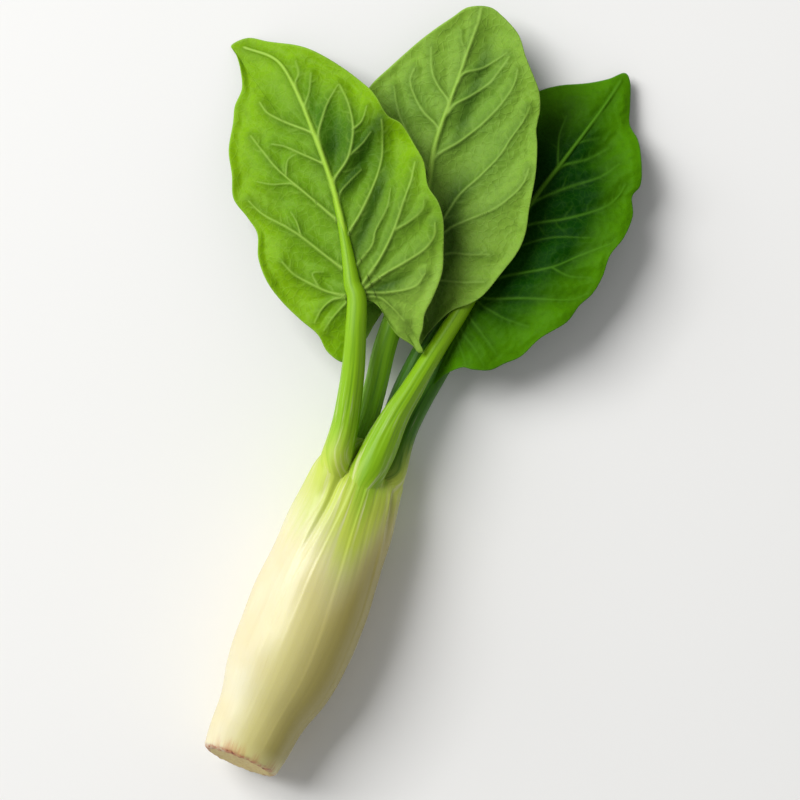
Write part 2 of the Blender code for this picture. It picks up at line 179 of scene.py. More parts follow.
# Side veins: how strong each is, then its points from the midrib outward.
LEFT_VEINS = (
    (1.0, (9.3, 57.0), (7.9, 59.5), (1.4, 66.2), (-3.1, 72.0), (-4.2, 76.7)),
    (0.8, (8.8, 44.0), (7.9, 46.7), (2.4, 53.0), (-2.1, 58.0), (-6.0, 60.8)),
    (1.0, (5.6, 23.5), (3.9, 27.5), (-0.8, 37.2), (-4.8, 45.2), (-8.0, 52.3), (-10.0, 59.4),
     (-11.9, 66.8)),
    (1.1, (1.6, 5.0), (0.1, 8.5), (-4.9, 17.6), (-9.3, 25.7), (-13.3, 31.7), (-18.9, 38.7),
     (-21.6, 45.0)),
    (1.0, (0.0, -1.0), (-3.0, 0.1), (-8.4, 4.0), (-12.9, 9.0), (-17.1, 14.6), (-19.1, 20.0)),
    (0.9, (0.0, -1.5), (-3.3, -0.5), (-7.9, 0.6), (-12.9, -1.1), (-17.0, -4.3)),
    (0.8, (0.0, -2.0), (-4.2, -2.5), (-10.4, -5.3), (-15.0, -8.2)),
    (0.5, (-3.9, 43.0), (-5.8, 45.0), (-11.7, 47.3), (-16.2, 50.4)),
    (0.5, (-9.3, 25.7), (-8.8, 31.3), (-9.4, 35.4)),
    (0.4, (-6.0, 48.0), (-3.1, 53.0), (0.9, 54.0)),
    (0.4, (-10.5, 6.0), (-10.9, 12.0), (-6.9, 11.0)),
    (0.7, (9.6, 73.0), (10.3, 77.9), (12.7, 80.8), (13.5, 85.5)),
    (0.7, (9.5, 64.0), (10.2, 68.7), (13.5, 72.7), (16.9, 79.0)),
    (0.9, (9.0, 51.5), (10.5, 57.0), (14.4, 62.2), (18.2, 66.4), (24.0, 70.9)),
    (1.0, (8.2, 37.0), (9.6, 39.9), (16.6, 44.6), (21.4, 51.1), (23.7, 56.7), (24.8, 63.6),
     (24.6, 70.7)),
    (0.6, (22.5, 53.7), (26.6, 55.1), (30.3, 59.3)),
    (0.5, (17.6, 45.5), (23.3, 47.5), (28.0, 50.2)),
    (1.0, (4.6, 17.0), (6.4, 19.9), (13.4, 25.0), (21.5, 32.4), (27.8, 39.8), (31.2, 46.9),
     (33.3, 52.6)),
    (0.5, (7.4, 31.0), (9.5, 34.5), (14.2, 37.0), (19.8, 39.3)),
    (0.6, (2.6, 6.0), (5.0, 8.6), (12.4, 12.6), (15.8, 17.0), (22.5, 22.7), (26.6, 28.7)),
    (1.1, (1.0, -0.5), (3.8, 1.3), (13.2, 7.2), (21.1, 13.9), (29.0, 22.6), (34.3, 28.5),
     (38.1, 33.9)),
    (0.6, (22.5, 14.5), (28.2, 15.2), (33.7, 17.1), (35.6, 19.8)),
    (1.0, (1.0, -1.0), (3.7, -0.4), (12.7, 1.6), (21.3, 2.6), (28.9, 4.0), (34.0, 6.9),
     (36.1, 11.0)),
    (0.9, (0.5, -1.6), (3.6, -1.6), (9.9, -4.4), (16.6, -6.3), (21.7, -6.5), (25.9, -4.0)),
    (0.8, (0.5, -2.2), (3.4, -3.2), (7.9, -5.4), (10.8, -11.0), (12.5, -16.2)),
)
MIDDLE_VEINS = (
    (0.6, (-0.5, 83.0), (-0.8, 87.1), (-3.0, 91.0), (-4.2, 94.4)),
    (1.0, (-1.0, 65.0), (-2.2, 68.9), (-7.1, 73.2), (-10.7, 78.1), (-13.1, 86.0)),
    (1.0, (-2.2, 55.0), (-3.6, 58.9), (-9.4, 62.5), (-14.0, 67.2), (-17.2, 72.3), (-17.0, 77.0)),
    (0.9, (-2.0, 42.0), (-8.0, 48.0), (-14.1, 54.9), (-18.6, 60.8), (-22.3, 69.0)),
    (1.0, (-1.0, 24.0), (-9.0, 31.0), (-18.0, 41.0), (-25.0, 50.0), (-28.0, 58.0)),
    (1.0, (0.0, 10.0), (-10.0, 17.0), (-20.0, 26.0), (-28.0, 36.0)),
    (1.0, (0.0, 1.0), (-10.0, 4.0), (-20.0, 8.0), (-28.0, 14.0)),
    (0.9, (0.0, -1.0), (-8.0, -6.0), (-14.0, -13.0), (-16.0, -18.0)),
    (0.9, (-0.4, 76.0), (1.0, 80.0), (7.2, 83.7), (13.8, 90.7)),
    (1.0, (-1.1, 64.0), (0.3, 67.9), (5.0, 72.3), (10.4, 78.6), (13.4, 85.4), (14.9, 89.5)),
    (1.0, (-2.2, 46.0), (0.0, 50.0), (5.5, 55.4), (11.8, 63.7), (16.8, 72.9), (19.2, 80.2),
     (19.0, 85.4)),
    (1.0, (0.4, 8.0), (3.8, 18.0), (7.6, 28.4), (10.5, 37.0), (15.7, 45.1), (20.5, 53.5),
     (23.2, 61.6), (25.8, 68.3), (26.6, 73.7)),
    (1.0, (0.3, 3.0), (4.0, 14.0), (9.6, 23.8), (15.9, 29.2), (23.0, 34.5), (28.7, 41.2),
     (31.6, 46.8), (32.0, 52.1)),
    (0.9, (0.0, 0.0), (5.0, 9.0), (11.8, 15.5), (19.9, 17.2), (26.5, 19.0)),
    (0.8, (0.0, -0.5), (10.0, 5.0), (20.0, 7.0), (27.0, 9.0)),
    (0.7, (0.0, -1.5), (7.0, -4.0), (11.5, -9.5)),
)
RIGHT_VEINS = (
    (0.8, (1.1, 60.0), (1.8, 65.3), (7.1, 71.3)),
    (1.0, (0.8, 51.0), (2.2, 55.9), (8.1, 62.7), (12.1, 70.3)),
    (1.0, (0.0, 36.0), (1.6, 40.6), (7.7, 49.8), (15.2, 59.3), (18.3, 67.0)),
    (1.0, (0.0, 24.0), (4.1, 31.2), (14.0, 40.5), (21.7, 49.7), (24.6, 56.5), (24.3, 62.0)),
    (0.6, (0.5, 16.0), (11.8, 30.3), (24.3, 38.8)),
    (1.0, (0.5, 2.0), (6.9, 10.4), (18.9, 22.4), (25.4, 32.1), (31.8, 41.3)),
    (0.6, (18.9, 22.4), (25.8, 23.2), (32.5, 26.8)),
    (1.0, (0.5, -1.5), (5.7, -0.1), (17.7, 8.1), (30.6, 16.0), (35.0, 21.8)),
    (0.8, (0.5, -2.5), (4.9, -2.8), (15.5, -2.2), (24.0, 0.1)),
    (0.9, (1.5, -7.0), (4.1, -8.6), (12.6, -11.5), (20.4, -14.6)),
    (0.9, (2.5, -12.5), (5.2, -14.7), (12.1, -17.1), (18.5, -20.2)),
    (0.8, (3.0, -16.0), (5.6, -18.0), (10.2, -21.4), (13.5, -24.2)),
    (1.0, (0.0, -2.0), (2.4, -8.0), (4.2, -16.0), (5.6, -24.0), (7.0, -31.0)),
    (0.7, (0.8, 54.0), (-1.7, 57.8), (-5.4, 64.5), (-7.1, 71.6)),
    (0.5, (1.8, 72.0), (2.4, 75.3), (3.4, 81.6)),
    (1.0, (0.0, 30.0), (-8.0, 38.0), (-16.0, 50.0), (-20.0, 60.0)),
    (1.0, (0.0, 14.0), (-10.0, 22.0), (-20.0, 34.0), (-25.0, 45.0)),
    (1.0, (0.0, 2.0), (-10.0, 8.0), (-20.0, 16.0), (-25.0, 26.0)),
    (0.9, (0.0, -1.0), (-8.0, -1.0), (-16.0, 1.0), (-21.0, 5.0)),
    (0.8, (0.0, -2.0), (-6.0, -5.5), (-11.0, -8.0)),
)

# The blades. root: the stalk's end (side, along, height); heading: where the tip points, in
# degrees to the right; middle: the point that the rings surround; roll: rise per mm to the
# right; tip_drop and lobe_drop: how far those hang; trough: a long hollow from one point to
# another with its half width and depth; then the bands of painted shade, where the blade
# lies in shade or in another blade's shadow, each from one point to another with its half
# width; ripple and waves: height and number of the margin's waves; vein_rise: how high the
# side veins stand; sag: below zero where the skin sinks between veins, above where it swells.
BLADES = {
    "blade_left": dict(
        root=(-27.7, 170.5, 28.6), heading=-46.1, length=100.0, middle=(7.0, 36.0),
        margin=LEFT_MARGIN, veins=LEFT_VEINS, roll=0.20, tip_drop=27.0, lobe_drop=2.2,
        trough=(12.0, 29.0, 46.0, 51.0, 9.0, 4.0), ripple=1.3, waves=9, seed=3, vein_rise=1.0,
        sag=-1.0,
        shade_bands=((40.0, 60.0, 4.0, 28.0, 3.6), (1.0, 8.0, 31.0, 39.0, 2.6),
               (-6.0, -3.6, 26.0, -1.4, 2.4), (6.0, 40.0, 20.0, 62.0, 4.0)),
        midrib=((0.0, 0.0), (4.7, 19.0), (8.0, 38.0), (9.2, 58.0), (9.4, 76.5), (7.2, 89.0),
                (-1.5, 98.4))),
    "blade_middle": dict(
        root=(-12.1, 179.6, 17.4), heading=-7.9, length=104.6, middle=(0.0, 36.0),
        margin=MIDDLE_MARGIN, veins=MIDDLE_VEINS, roll=0.20, tip_drop=3.0, lobe_drop=3.6,
        trough=(10.0, 12.0, 10.0, 92.0, 7.0, 1.5), ripple=1.0, waves=8, seed=5, vein_rise=0.85,
        sag=-0.8,
        shade_bands=((4.0, 50.0, 7.0, 98.0, 2.6), (6.0, 14.0, 12.0, 50.0, 4.5),
               (12.0, 32.0, 13.5, -26.0, 3.4)),
        midrib=((0.0, 0.0), (0.5, 15.0), (-1.4, 40.0), (-2.5, 54.0), (-0.6, 78.0), (0.8, 99.0),
                (0.5, 103.8))),
    "blade_right": dict(
        root=(10.8, 188.5, 13.0), heading=11.2, length=96.0, middle=(5.0, 34.0),
        margin=RIGHT_MARGIN, veins=RIGHT_VEINS, roll=0.30, tip_drop=10.5, lobe_drop=-0.6,
        trough=(10.0, 10.0, 10.0, 80.0, 7.0, 1.0), ripple=1.6, waves=9, seed=7, vein_rise=0.4,
        sag=0.7,
        shade_bands=((-6.0, 8.0, -8.0, 90.0, 8.0),),
        midrib=((0.0, 0.0), (0.0, 38.0), (1.0, 57.0), (2.2, 82.0), (2.0, 93.0))),
}

# The stalks. blade: the blade that it carries; ribs: how many run round it; lead: by how many
# mm its skin turns green sooner; wing: the sheath edge's angle, start, end and height;
# colours: the settings for its skin and for its deeper streaks.
STALKS = {
    "stalk_left": dict(line=LEFT_STALK, blade="blade_left", ribs=9,
                       colours=("stalk", "stalk_shade")),
    "stalk_middle": dict(line=MIDDLE_STALK, blade="blade_middle", ribs=8, lead=14.0,
                         colours=("middle", "inner")),
    "stalk_right": dict(line=RIGHT_STALK, blade="blade_right", ribs=9,
                        wing=(-12.0, 112.0, 156.0, 0.9), colours=("stalk", "stalk_shade")),
    "young_leaf": dict(line=YOUNG_LEAF, ribs=7, lead=40.0, colours=("inner", "inner_shade")),
    "stalk_rear": dict(line=REAR_STALK, ribs=8, colours=("inner", "inner_shade")),
}
FIRST_STALK_SEED = 20


def tint(red, green, blue):
    """A colour from everyday 0 to 255 steps to the linear values that shaders use."""
    steps = np.array((red, green, blue)) / 255.0
    return tuple(np.where(steps > 0.04045, ((steps + 0.055) / 1.055) ** 2.4, steps / 12.92))


def ease(value, low, high):
    """0 below low, 1 above high, and a smooth S between them."""
    t = np.clip((value - low) / (high - low), 0.0, 1.0)
    return t * t * (3.0 - 2.0 * t)


def spline(points, count, closed=False):
    """Even samples of the Catmull-Rom curve through the points: on each span a cubic that
    leaves a point along the line between its two neighbours."""
    pts = np.asarray(points, float)
    if closed:
        pts = np.vstack((pts[-1:], pts, pts[:2]))
    else:
        pts = np.vstack((2 * pts[0] - pts[1], pts, 2 * pts[-1] - pts[-2]))
    fine = np.linspace(0.0, len(pts) - 3, 40 * (len(pts) - 3) + 1)
    span = np.minimum(fine.astype(int), len(pts) - 4)
    f = (fine - span)[:, None]
    a, b, c, d = (pts[span + k] for k in range(4))
    curve = b + 0.5 * f * (c - a + f * (2 * a - 5 * b + 4 * c - d + f * (3 * (b - c) + d - a)))
    run = np.r_[0.0, np.cumsum(np.linalg.norm(np.diff(curve[:, :2], axis=0), axis=1))]
    at = np.linspace(0.0, run[-1], count + 1)[:-1] if closed else np.linspace(0.0, run[-1], count)
    return np.stack([np.interp(at, run, curve[:, k]) for k in range(pts.shape[1])], 1)


def swell(p, q, seed, length, count=14):
    """A smooth uneven field of about -1 to 1: the mean of sine waves of about the given
    length, each in its own direction and with its own start."""
    draw = np.random.default_rng(seed)
    total = 0.0
    for _ in range(count):
        way = draw.uniform(0, 2 * np.pi)
        rate = 2 * np.pi / (length * draw.uniform(0.7, 1.5))
        total = total + np.sin(rate * (p * cos(way) + q * sin(way)) + draw.uniform(0, 6.28))
    return total / count ** 0.5 / 1.4


# ----------------------------------------------------------------------------------------
# Meshes
# ----------------------------------------------------------------------------------------

def grid_quads(index):
    """The quads between neighbouring entries of a two-way table of point numbers."""
    return np.stack((index[:-1, :-1], index[1:, :-1], index[1:, 1:], index[:-1, 1:]), 2).reshape(-1, 4)


def signed_volume(points, faces):
    """Six times the volume inside the faces: the sum of a . (b x c) over their triangles."""
    a, b, c = points[faces[:, 0]], points[faces[:, 1]], points[faces[:, 2]]
    total = np.einsum("ij,ij->", a, np.cross(b, c))
    if faces.shape[1] == 4:
        d = points[faces[:, 3]]
        total += np.einsum("ij,ij->", a, np.cross(c, d))
    return total


def grow(name, points, quads, tris, layers, material):
    """Makes a closed piece that stands for the solid of its own name, from points in the
    shoot's own millimetres, and turns its faces outward if its volume comes out negative."""
    centred = points - points.mean(0)
    volume = signed_volume(centred, quads) + (signed_volume(centred, tris) if len(tris) else 0.0)
    if volume < 0:
        quads = quads[:, ::-1]
        tris = tris[:, ::-1] if len(tris) else tris
    corners = np.concatenate((quads.ravel(), np.asarray(tris, int).ravel()))
    sides = np.concatenate((np.full(len(quads), 4), np.full(len(tris), 3)))
    starts = np.concatenate(([0], np.cumsum(sides)[:-1]))
    mesh = bpy.data.meshes.new(name)
    mesh.vertices.add(len(points))
    mesh.vertices.foreach_set("co", ((points + ORIGIN) * MM).astype(np.float32).ravel())
    mesh.loops.add(len(corners))
    mesh.loops.foreach_set("vertex_index", corners.astype(np.int32))
    mesh.polygons.add(len(sides))
    mesh.polygons.foreach_set("loop_start", starts.astype(np.int32))
    mesh.polygons.foreach_set("use_smooth", np.ones(len(sides), bool))
    mesh.update(calc_edges=True)
    for key, values in layers.items():
        kind = "FLOAT_VECTOR" if values.ndim == 2 else "FLOAT"
        layer = mesh.attributes.new(key, kind, "POINT")
        field = "vector" if values.ndim == 2 else "value"
        layer.data.foreach_set(field, values.astype(np.float32).ravel())
    if mesh.validate():
        raise RuntimeError(name + " has faces that don't close")
    piece = bpy.data.objects.new(name + "_skin", mesh)
    bpy.context.scene.collection.objects.link(piece)
    mesh.materials.append(material)
    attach(piece, "root")
    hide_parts(name)
    return piece


def tube_faces(rows, cols):
    """Quads round a tube of rows and the triangles from its end rows to two end points."""
    index = np.arange(rows * cols).reshape(rows, cols)
    index = np.hstack((index, index[:, :1]))
    first, last = rows * cols, rows * cols + 1
    foot = np.stack((np.full(cols, first), index[0, 1:], index[0, :-1]), 1)
    head = np.stack((np.full(cols, last), index[-1, :-1], index[-1, 1:]), 1)
    return grid_quads(index), np.vstack((foot, head))


# ----------------------------------------------------------------------------------------
# Base
# ----------------------------------------------------------------------------------------

# Edges of the outer sheaths: angle round the base at the cut, how far it turns on the way
# to the neck, and how high the edge stands (degrees, degrees, mm).
SHEATH_EDGES = (
    (128.0, -22.0, 0.30), (108.0, -14.0, 0.24), (146.0, -20.0, 0.20), (64.0, 10.0, 0.30),
    (22.0, 8.0, 0.40), (196.0, 6.0, 0.26), (256.0, -6.0, 0.30), (318.0, 8.0, 0.28),
)


def base_middle(along):
    """How far to the side the base's centre line is at each distance along it."""
    table = np.array(BASE_SECTIONS)
    return np.interp(along, table[:, 0], table[:, 1])


def base_height(along):
    """How high the base's centre line is: level along the belly, sinking where the stalks
    part so that the flesh between them drops away."""
    return BELLY_HEIGHT - 9.0 * ease(along, 107, 119)


def base_relief(turn, along, ribs):
    """How far the base's skin stands out: each sheath edge is a step that dies away past the
    edge, on top of many fine ribs that run lengthwise and fade toward the belly."""
    rise = np.zeros_like(turn + along)
    for at, drift, height in SHEATH_EDGES:
        line = radians(at) + radians(drift) * along / 125.0 + 0.02 * np.sin(along / 11.0 + at)
        past = np.mod(line - turn + np.pi, 2 * np.pi) - np.pi
        show = 0.25 + 0.75 * ease(along, 30, 100) * (1 - 0.6 * ease(along, 108, 120))
        rise += height * show * ease(past, -0.02, 0.02) * np.exp(-np.clip(past, 0, None) / 0.30)
    fine = 0.0
    draw = np.random.default_rng(11)
    for count in (17, 23, 31, 41, 53, 67):
        sway = draw.uniform(0, 6.28) + 0.5 * np.sin(along / draw.uniform(22, 40) + count)
        fine = fine + np.cos(count * turn + sway) * draw.uniform(0.5, 1.0)
    return rise + ribs * fine * (0.3 + 0.7 * ease(along, 60, 115)) / 3.0


def ripeness(turn, along, lead=0.0):
    """How green the skin is, 0 on the belly to 1 on the stalks: it rises along the shoot, by
    lead mm sooner, and at the foot sooner below the right stalk and later on the flanks."""

    def near(angle, spread):
        """1 at one angle round the shoot, falling away smoothly on both sides."""
        gap = np.mod(turn - radians(angle) + np.pi, 2 * np.pi) - np.pi
        return np.exp(-(gap / radians(spread)) ** 2)
    foot = 1 - ease(along, 116, 140)
    shift = 15.0 * near(70, 26) - 9.0 * near(165, 30) - 12.0 * near(10, 26)
    return np.clip((along + lead + shift * foot - 62.0) / 84.0, 0, 1)


def clefts(turn, along):
    """How deep the neck is cut in between the stalks: a fine crease that opens as a V where
    the two front stalks part, and one more crease to the right of the right stalk."""

    def groove(angle, spread, start, full, depth, fork):
        """A groove at one angle that deepens from start to full, later on its sides by fork."""
        gap = np.mod(turn - radians(angle) + np.pi, 2 * np.pi) - np.pi
        return depth * np.exp(-(gap / radians(spread)) ** 2) \
            * ease(along - fork * np.abs(gap), start, full)
    crease = groove(120.0, 3.2, 66.0, 112.0, 1.1, 0.0)
    return crease + groove(119.0, 13.0, 106.0, 116.0, 8.0, 24.0) \
        + groove(20.0, 5.0, 84.0, 112.0, 1.6, 0.0)


def stalk_reach(stalk, along, turn):
    """How far a stalk's oval reaches in each direction from the base's centre line: the far
    root of the equation of ray and oval, falling away steeply where the ray misses it."""
    line = spline(stalk, 240)
    x, z, wide, high = (np.interp(along, line[:, 1], line[:, k]) for k in (0, 2, 3, 4))
    px, pz = (base_middle(along) - x) / wide, (base_height(along) - z) / high
    dx, dz = np.cos(turn) / wide, np.sin(turn) / high
    square, half = dx ** 2 + dz ** 2, px * dx + pz * dz
    inside = half ** 2 - square * (px ** 2 + pz ** 2 - 1)
    root = np.sqrt(np.abs(inside)) * np.where(inside > 0, 1.0, -3.0)
    return (root - half) / square


def soft_max(one, other, soft):
    """The larger of two, with the corner where they cross rounded off."""
    return (one + other + np.sqrt((one - other) ** 2 + soft ** 2)) / 2


def strands(turn, radius, run):
    """Where a point is in the lengthwise grain: round the piece, and slowly along it."""
    return np.stack((radius * np.cos(turn) + 0 * run, radius * np.sin(turn) + 0 * run,
                     0.055 * run + 0 * turn), -1)


def around(cols):
    """Even directions round a piece, as one row."""
    return np.linspace(0, 2 * np.pi, cols, endpoint=False)[None]


def with_ends(points):
    """A tube's points, with the middle of its first and of its last row added."""
    ends = np.stack((points[0].mean(0), points[-1].mean(0)))
    return np.vstack((points.reshape(-1, 3), ends))


def base_rows():
    """The base's sections from the middle of the knife cut over its rounded rim and along the
    belly, and how far out on the cut each is: 0 in the middle and 1 from the rim on."""
    cap = np.linspace(0.02, 1.0, int(40 * DETAIL))[:-1]
    bend = np.linspace(0.0, np.pi / 2, 8)[:-1]
    wide, high = CUT_FACE
    face = np.stack((0 * cap, CUT_SIDE + 0 * cap, wide * cap, high * cap), 1)
    rim = np.stack((RIM_RADIUS - RIM_RADIUS * np.cos(bend), CUT_SIDE + 0 * bend,
                    wide + RIM_RADIUS * np.sin(bend), high + RIM_RADIUS * np.sin(bend)), 1)
    table = np.vstack((face, rim, spline(BASE_SECTIONS, int(BASE_GRID[0] * DETAIL))))
    return table, np.r_[cap, np.ones(len(table) - len(cap))][:, None]


def base_reach(turn, along, wide, high, rib_height):
    """How far the base reaches in each direction: the oval less the clefts, near the neck the
    oval or the nearest stalk, whichever is more, then the relief, and last it closes inside."""
    reach = 1 / np.hypot(np.cos(turn) / wide, np.sin(turn) / high) - clefts(turn, along)
    joined = reach
    for stalk in (LEFT_STALK, RIGHT_STALK, REAR_STALK, MIDDLE_STALK):
        joined = soft_max(joined, stalk_reach(stalk, along, turn), STALK_BLEND)
    reach = reach + ease(along, 80, 96) * (joined - reach)
    reach = reach - 1.3 * ease(along, 102, 116) * np.clip(np.sin(turn), 0, 1) ** 2
    skin = ease(along, 1.5, 8.0)
    reach = reach + base_relief(turn, along, rib_height) * skin
    reach = reach + 0.25 * swell(along, turn * 18.0, 4, 24.0) * skin * (1 - ease(along, 96, 110))
    return reach * (1 - np.clip((along - NECK_START) / NECK_LENGTH, 0, 1) ** 3)


def knife_cut(x, z, along, inside):
    """How far the cut moves the points near it along the shoot: it leans back over the base,
    is dished and a little uneven, and its rim is frayed."""
    lean = tan(CUT_LEAN) * (z - BELLY_HEIGHT) * np.clip(1 - along / 60.0, 0, 1) ** 2
    dish = 0.35 * (1 - inside ** 2) + 0.12 * swell(x, z, 9, 4.0) * (along < 0.01)
    fray = np.random.default_rng(2).standard_normal(x.shape[1])
    fray = 0.18 * np.convolve(np.r_[fray, fray[:4]], np.ones(5) / 5, "valid")[None]
    return lean + dish + fray * ease(inside, 0.8, 1.0) * (1 - ease(along, 1.0, 3.0))


def base_surface(sizes):
    """The base: in each row the centre line plus the reach in each direction, with the knife
    cut at one end. Nothing goes below the table."""
    table, inside = base_rows()
    along, centre, wide, high = (column[:, None] for column in table.T)
    turn = around(int(BASE_GRID[1] * DETAIL))
    reach = base_reach(turn, along, wide, high, sizes.rib_height * 1000)
    x = centre + reach * np.cos(turn)
    z = base_height(along) + reach * np.sin(turn)
    y = along + knife_cut(x, z, along, inside)
    points = with_ends(np.stack((x, y, np.maximum(z, 0.0)), 2))
    from_rim = np.where(along > 0.01, along, (inside - 1.0) * 12.0) + 0 * turn
    layers = {
        "from_rim": np.r_[from_rim.ravel(), -13.0, 126.0],
        "grain": np.vstack((strands(turn, 20.0, along).reshape(-1, 3), ((0, 0, 0), (0, 0, 7)))),
        "around": np.r_[(turn + 0 * along).ravel(), 0.0, 0.0],
        "ripe": np.r_[ripeness(turn, along).ravel(), 0.0, 1.0],
    }
    return points, tube_faces(*x.shape), layers


# ----------------------------------------------------------------------------------------
# Stalks
# ----------------------------------------------------------------------------------------

# How a stalk goes over into its midrib: along the blade, height above it, half width.
STALK_RUN_OUT = ((-3.0, 2.7, 3.5), (3.0, 1.9, 3.0), (9.0, 1.3, 2.5), (16.0, 0.8, 2.0),
                 (24.0, 0.45, 1.6), (33.0, 0.1, 1.3), (42.0, -0.25, 1.05))


def stalk_line(stalk, blade):
    """A stalk's centre line and half sizes, carried on along the blade's midrib, where it
    thins and sinks until only the midrib stands out."""
    line = list(stalk)
    for v, lift, size in STALK_RUN_OUT:
        u = float(midrib_side(blade, v))
        x, y = blade_place(blade, u, v)
        z = blade_level(blade, np.array(u), np.array(v), 0.2, 0.0)
        line.append((float(x), float(y), float(z) + lift, size, size * 0.95))
    return tuple(line)


def stalk_ribs(ribs, seed, turn, along, far):
    """A stalk's own ribs: three waves round it that drift slowly along it and fade with it."""
    start = np.random.default_rng(seed).uniform(0, 6.28, 3)
    rib = np.cos(ribs * turn + start[0] + 0.6 * np.sin(along / 30)) \
        + 0.6 * np.cos((2 * ribs + 3) * turn + start[1]) + 0.4 * np.cos(3 * turn + start[2])
    return 1.4 * rib * (1.1 - 0.95 * ease(far, 0.2, 0.6))


def sheath_wing(wing, turn, along):
    """A thin edge that stands out at one angle over part of the length."""
    at, low_end, high_end, height = wing
    past = np.mod(turn - radians(at) + np.pi, 2 * np.pi) - np.pi
    return height * np.exp(-(past / 0.10) ** 2) * ease(along, low_end, low_end + 12) \
        * (1 - ease(along, high_end - 10, high_end))


def stalk_surface(line, sizes, ribs, seed, wing, lead):
    """A stalk: ovals square to the centre line, with the base's own relief at the foot, ribs
    above it and perhaps a wing, and a rounded end. lead turns its skin green sooner."""
    path = spline(line, int(STALK_GRID[0] * DETAIL))
    centre, wide, high = path[:, None, :3], path[:, 3][:, None], path[:, 4][:, None]
    run = np.gradient(path[:, :3], axis=0)
    run /= np.linalg.norm(run, axis=1)[:, None]
    across = np.cross(run, (0.0, 0.0, 1.0))
    across /= np.linalg.norm(across, axis=1)[:, None]
    over = np.cross(across, run)
    turn = around(int(STALK_GRID[1] * DETAIL))
    along = path[:, 1][:, None]
    far = np.linspace(0, 1, len(path))[:, None]

    def skin(rise, size):
        """Points a given rise outside the ovals, whose size may be less near the end."""
        side, up = (wide + rise) * size * np.cos(turn), (high + rise) * size * np.sin(turn)
        return centre + across[:, None] * side[..., None] + over[:, None] * up[..., None]

    plain = skin(0.0, 1.0)
    bearing = np.arctan2(plain[..., 2] - base_height(along), plain[..., 0] - base_middle(along))
    bearing = np.mod(bearing, 2 * np.pi)
    rib_height = sizes.rib_height * 1000
    low = base_relief(bearing, along, rib_height)
    rise = low + ease(along, 112, 128) * (rib_height * stalk_ribs(ribs, seed, turn, along, far) - low)
    if wing:
        rise = rise + sheath_wing(wing, turn, along)
    points = skin(rise, np.sqrt(np.clip(1 - ((far - 0.985) / 0.015).clip(0) ** 2, 0.02, 1)))
    points[..., 2] = np.maximum(points[..., 2], 0.0)
    length = np.r_[0, np.cumsum(np.linalg.norm(np.diff(path[:, :3], axis=0), axis=1))][:, None]
    poles = ((0, 0, 0), (0, 0, 7))
    layers = {
        "grain": np.vstack((strands(bearing, 20.0, along).reshape(-1, 3), poles)),
        "strand": np.vstack((strands(turn, 6.0, length).reshape(-1, 3), poles)),
        "along": np.r_[(along + 0 * turn).ravel(), line[0][1], line[-1][1]],
        "ripe": np.r_[ripeness(bearing, along, lead).ravel(), 0.5, 1.0],
    }
    return with_ends(points), tube_faces(len(path), turn.size), layers


# ----------------------------------------------------------------------------------------
# Blades
# ----------------------------------------------------------------------------------------

def midrib_side(blade, v):
    """How far to the side the midrib is at each distance along the blade."""
    line = spline(blade["midrib"], 80)
    return np.interp(v, line[:, 1], line[:, 0])


def blade_place(blade, u, v):
    """From the blade's own side and length to the shoot's axes: a turn and a move."""
    h = radians(blade["heading"])
    x = blade["root"][0] + u * cos(h) + v * sin(h)
    y = blade["root"][1] - u * sin(h) + v * cos(h)
    return x, y


def hollow(trough, u, v):
    """Depth of a trough along a line: deepest on the line and gone at both of its ends."""
    u0, v0, u1, v1, half, depth = trough
    length = np.hypot(u1 - u0, v1 - v0)
    along = ((u - u0) * (u1 - u0) + (v - v0) * (v1 - v0)) / length
    aside = ((u - u0) * (v1 - v0) - (v - v0) * (u1 - u0)) / length
    ends = np.clip(along / 12.0, 0, 1) * np.clip((length - along) / 12.0, 0, 1)
    return depth * np.exp(-(aside / half) ** 2) * ends


def blade_level(blade, u, v, out, turn):
    """Height of the blade's mid surface: a tilted sheet with a hanging tip, hanging lobes,
    one long hollow and waves that grow toward the margin, away from the stalk."""
    ahead = np.clip(v / blade["length"], 0, None)
    behind = np.clip(-v / 20.0, 0, None)
    level = blade["root"][2] + blade["roll"] * u
    level = level - blade["tip_drop"] * ahead ** 2 - blade["lobe_drop"] * behind ** 2
    level = level - hollow(blade["trough"], u, v)
    calm = np.clip(np.hypot(u, v) / 26.0, 0, 1) ** 2
    return level + blade["ripple"] * calm * out ** 3 * np.sin(2 * np.pi * blade["waves"] * turn)


def disc_grid(cells):
    """A square grid seen as rings round its middle: how far out and how far round."""
    a, b = np.meshgrid(np.linspace(-1, 1, cells + 1), np.linspace(-1, 1, cells + 1), indexing="ij")
    out = np.maximum(np.abs(a), np.abs(b))
    safe = np.where(out > 0, out, 1.0)
    p, q = a / safe, b / safe
    turn = np.select([p >= 1, q >= 1, p <= -1], [q, 2 - p, 4 - q], 6 + p)
    return out, np.mod(turn + 1, 8) / 8


def nearest_on(line, u, v, reach):
    """For points within reach of a line: their distance from it and how far along they are,
    from the closest point of each of the line's straight pieces."""
    low, high = line.min(0) - reach, line.max(0) + reach
    near = (u > low[0]) & (u < high[0]) & (v > low[1]) & (v < high[1])
    p = np.stack((u[near], v[near]), 1)[:, None]
    a, step = line[None, :-1], np.diff(line, axis=0)[None]
    share = np.clip(((p - a) * step).sum(2) / (step ** 2).sum(2), 0, 1)
    gap = np.linalg.norm(p - a - share[..., None] * step, axis=2)
    best = gap.argmin(1)
    rows = np.arange(len(best))
    distance, far = np.full(u.shape, 99.0), np.zeros(u.shape)
    distance[near] = gap[rows, best]
    far[near] = (best + share[rows, best]) / (len(line) - 1)
    return distance, far


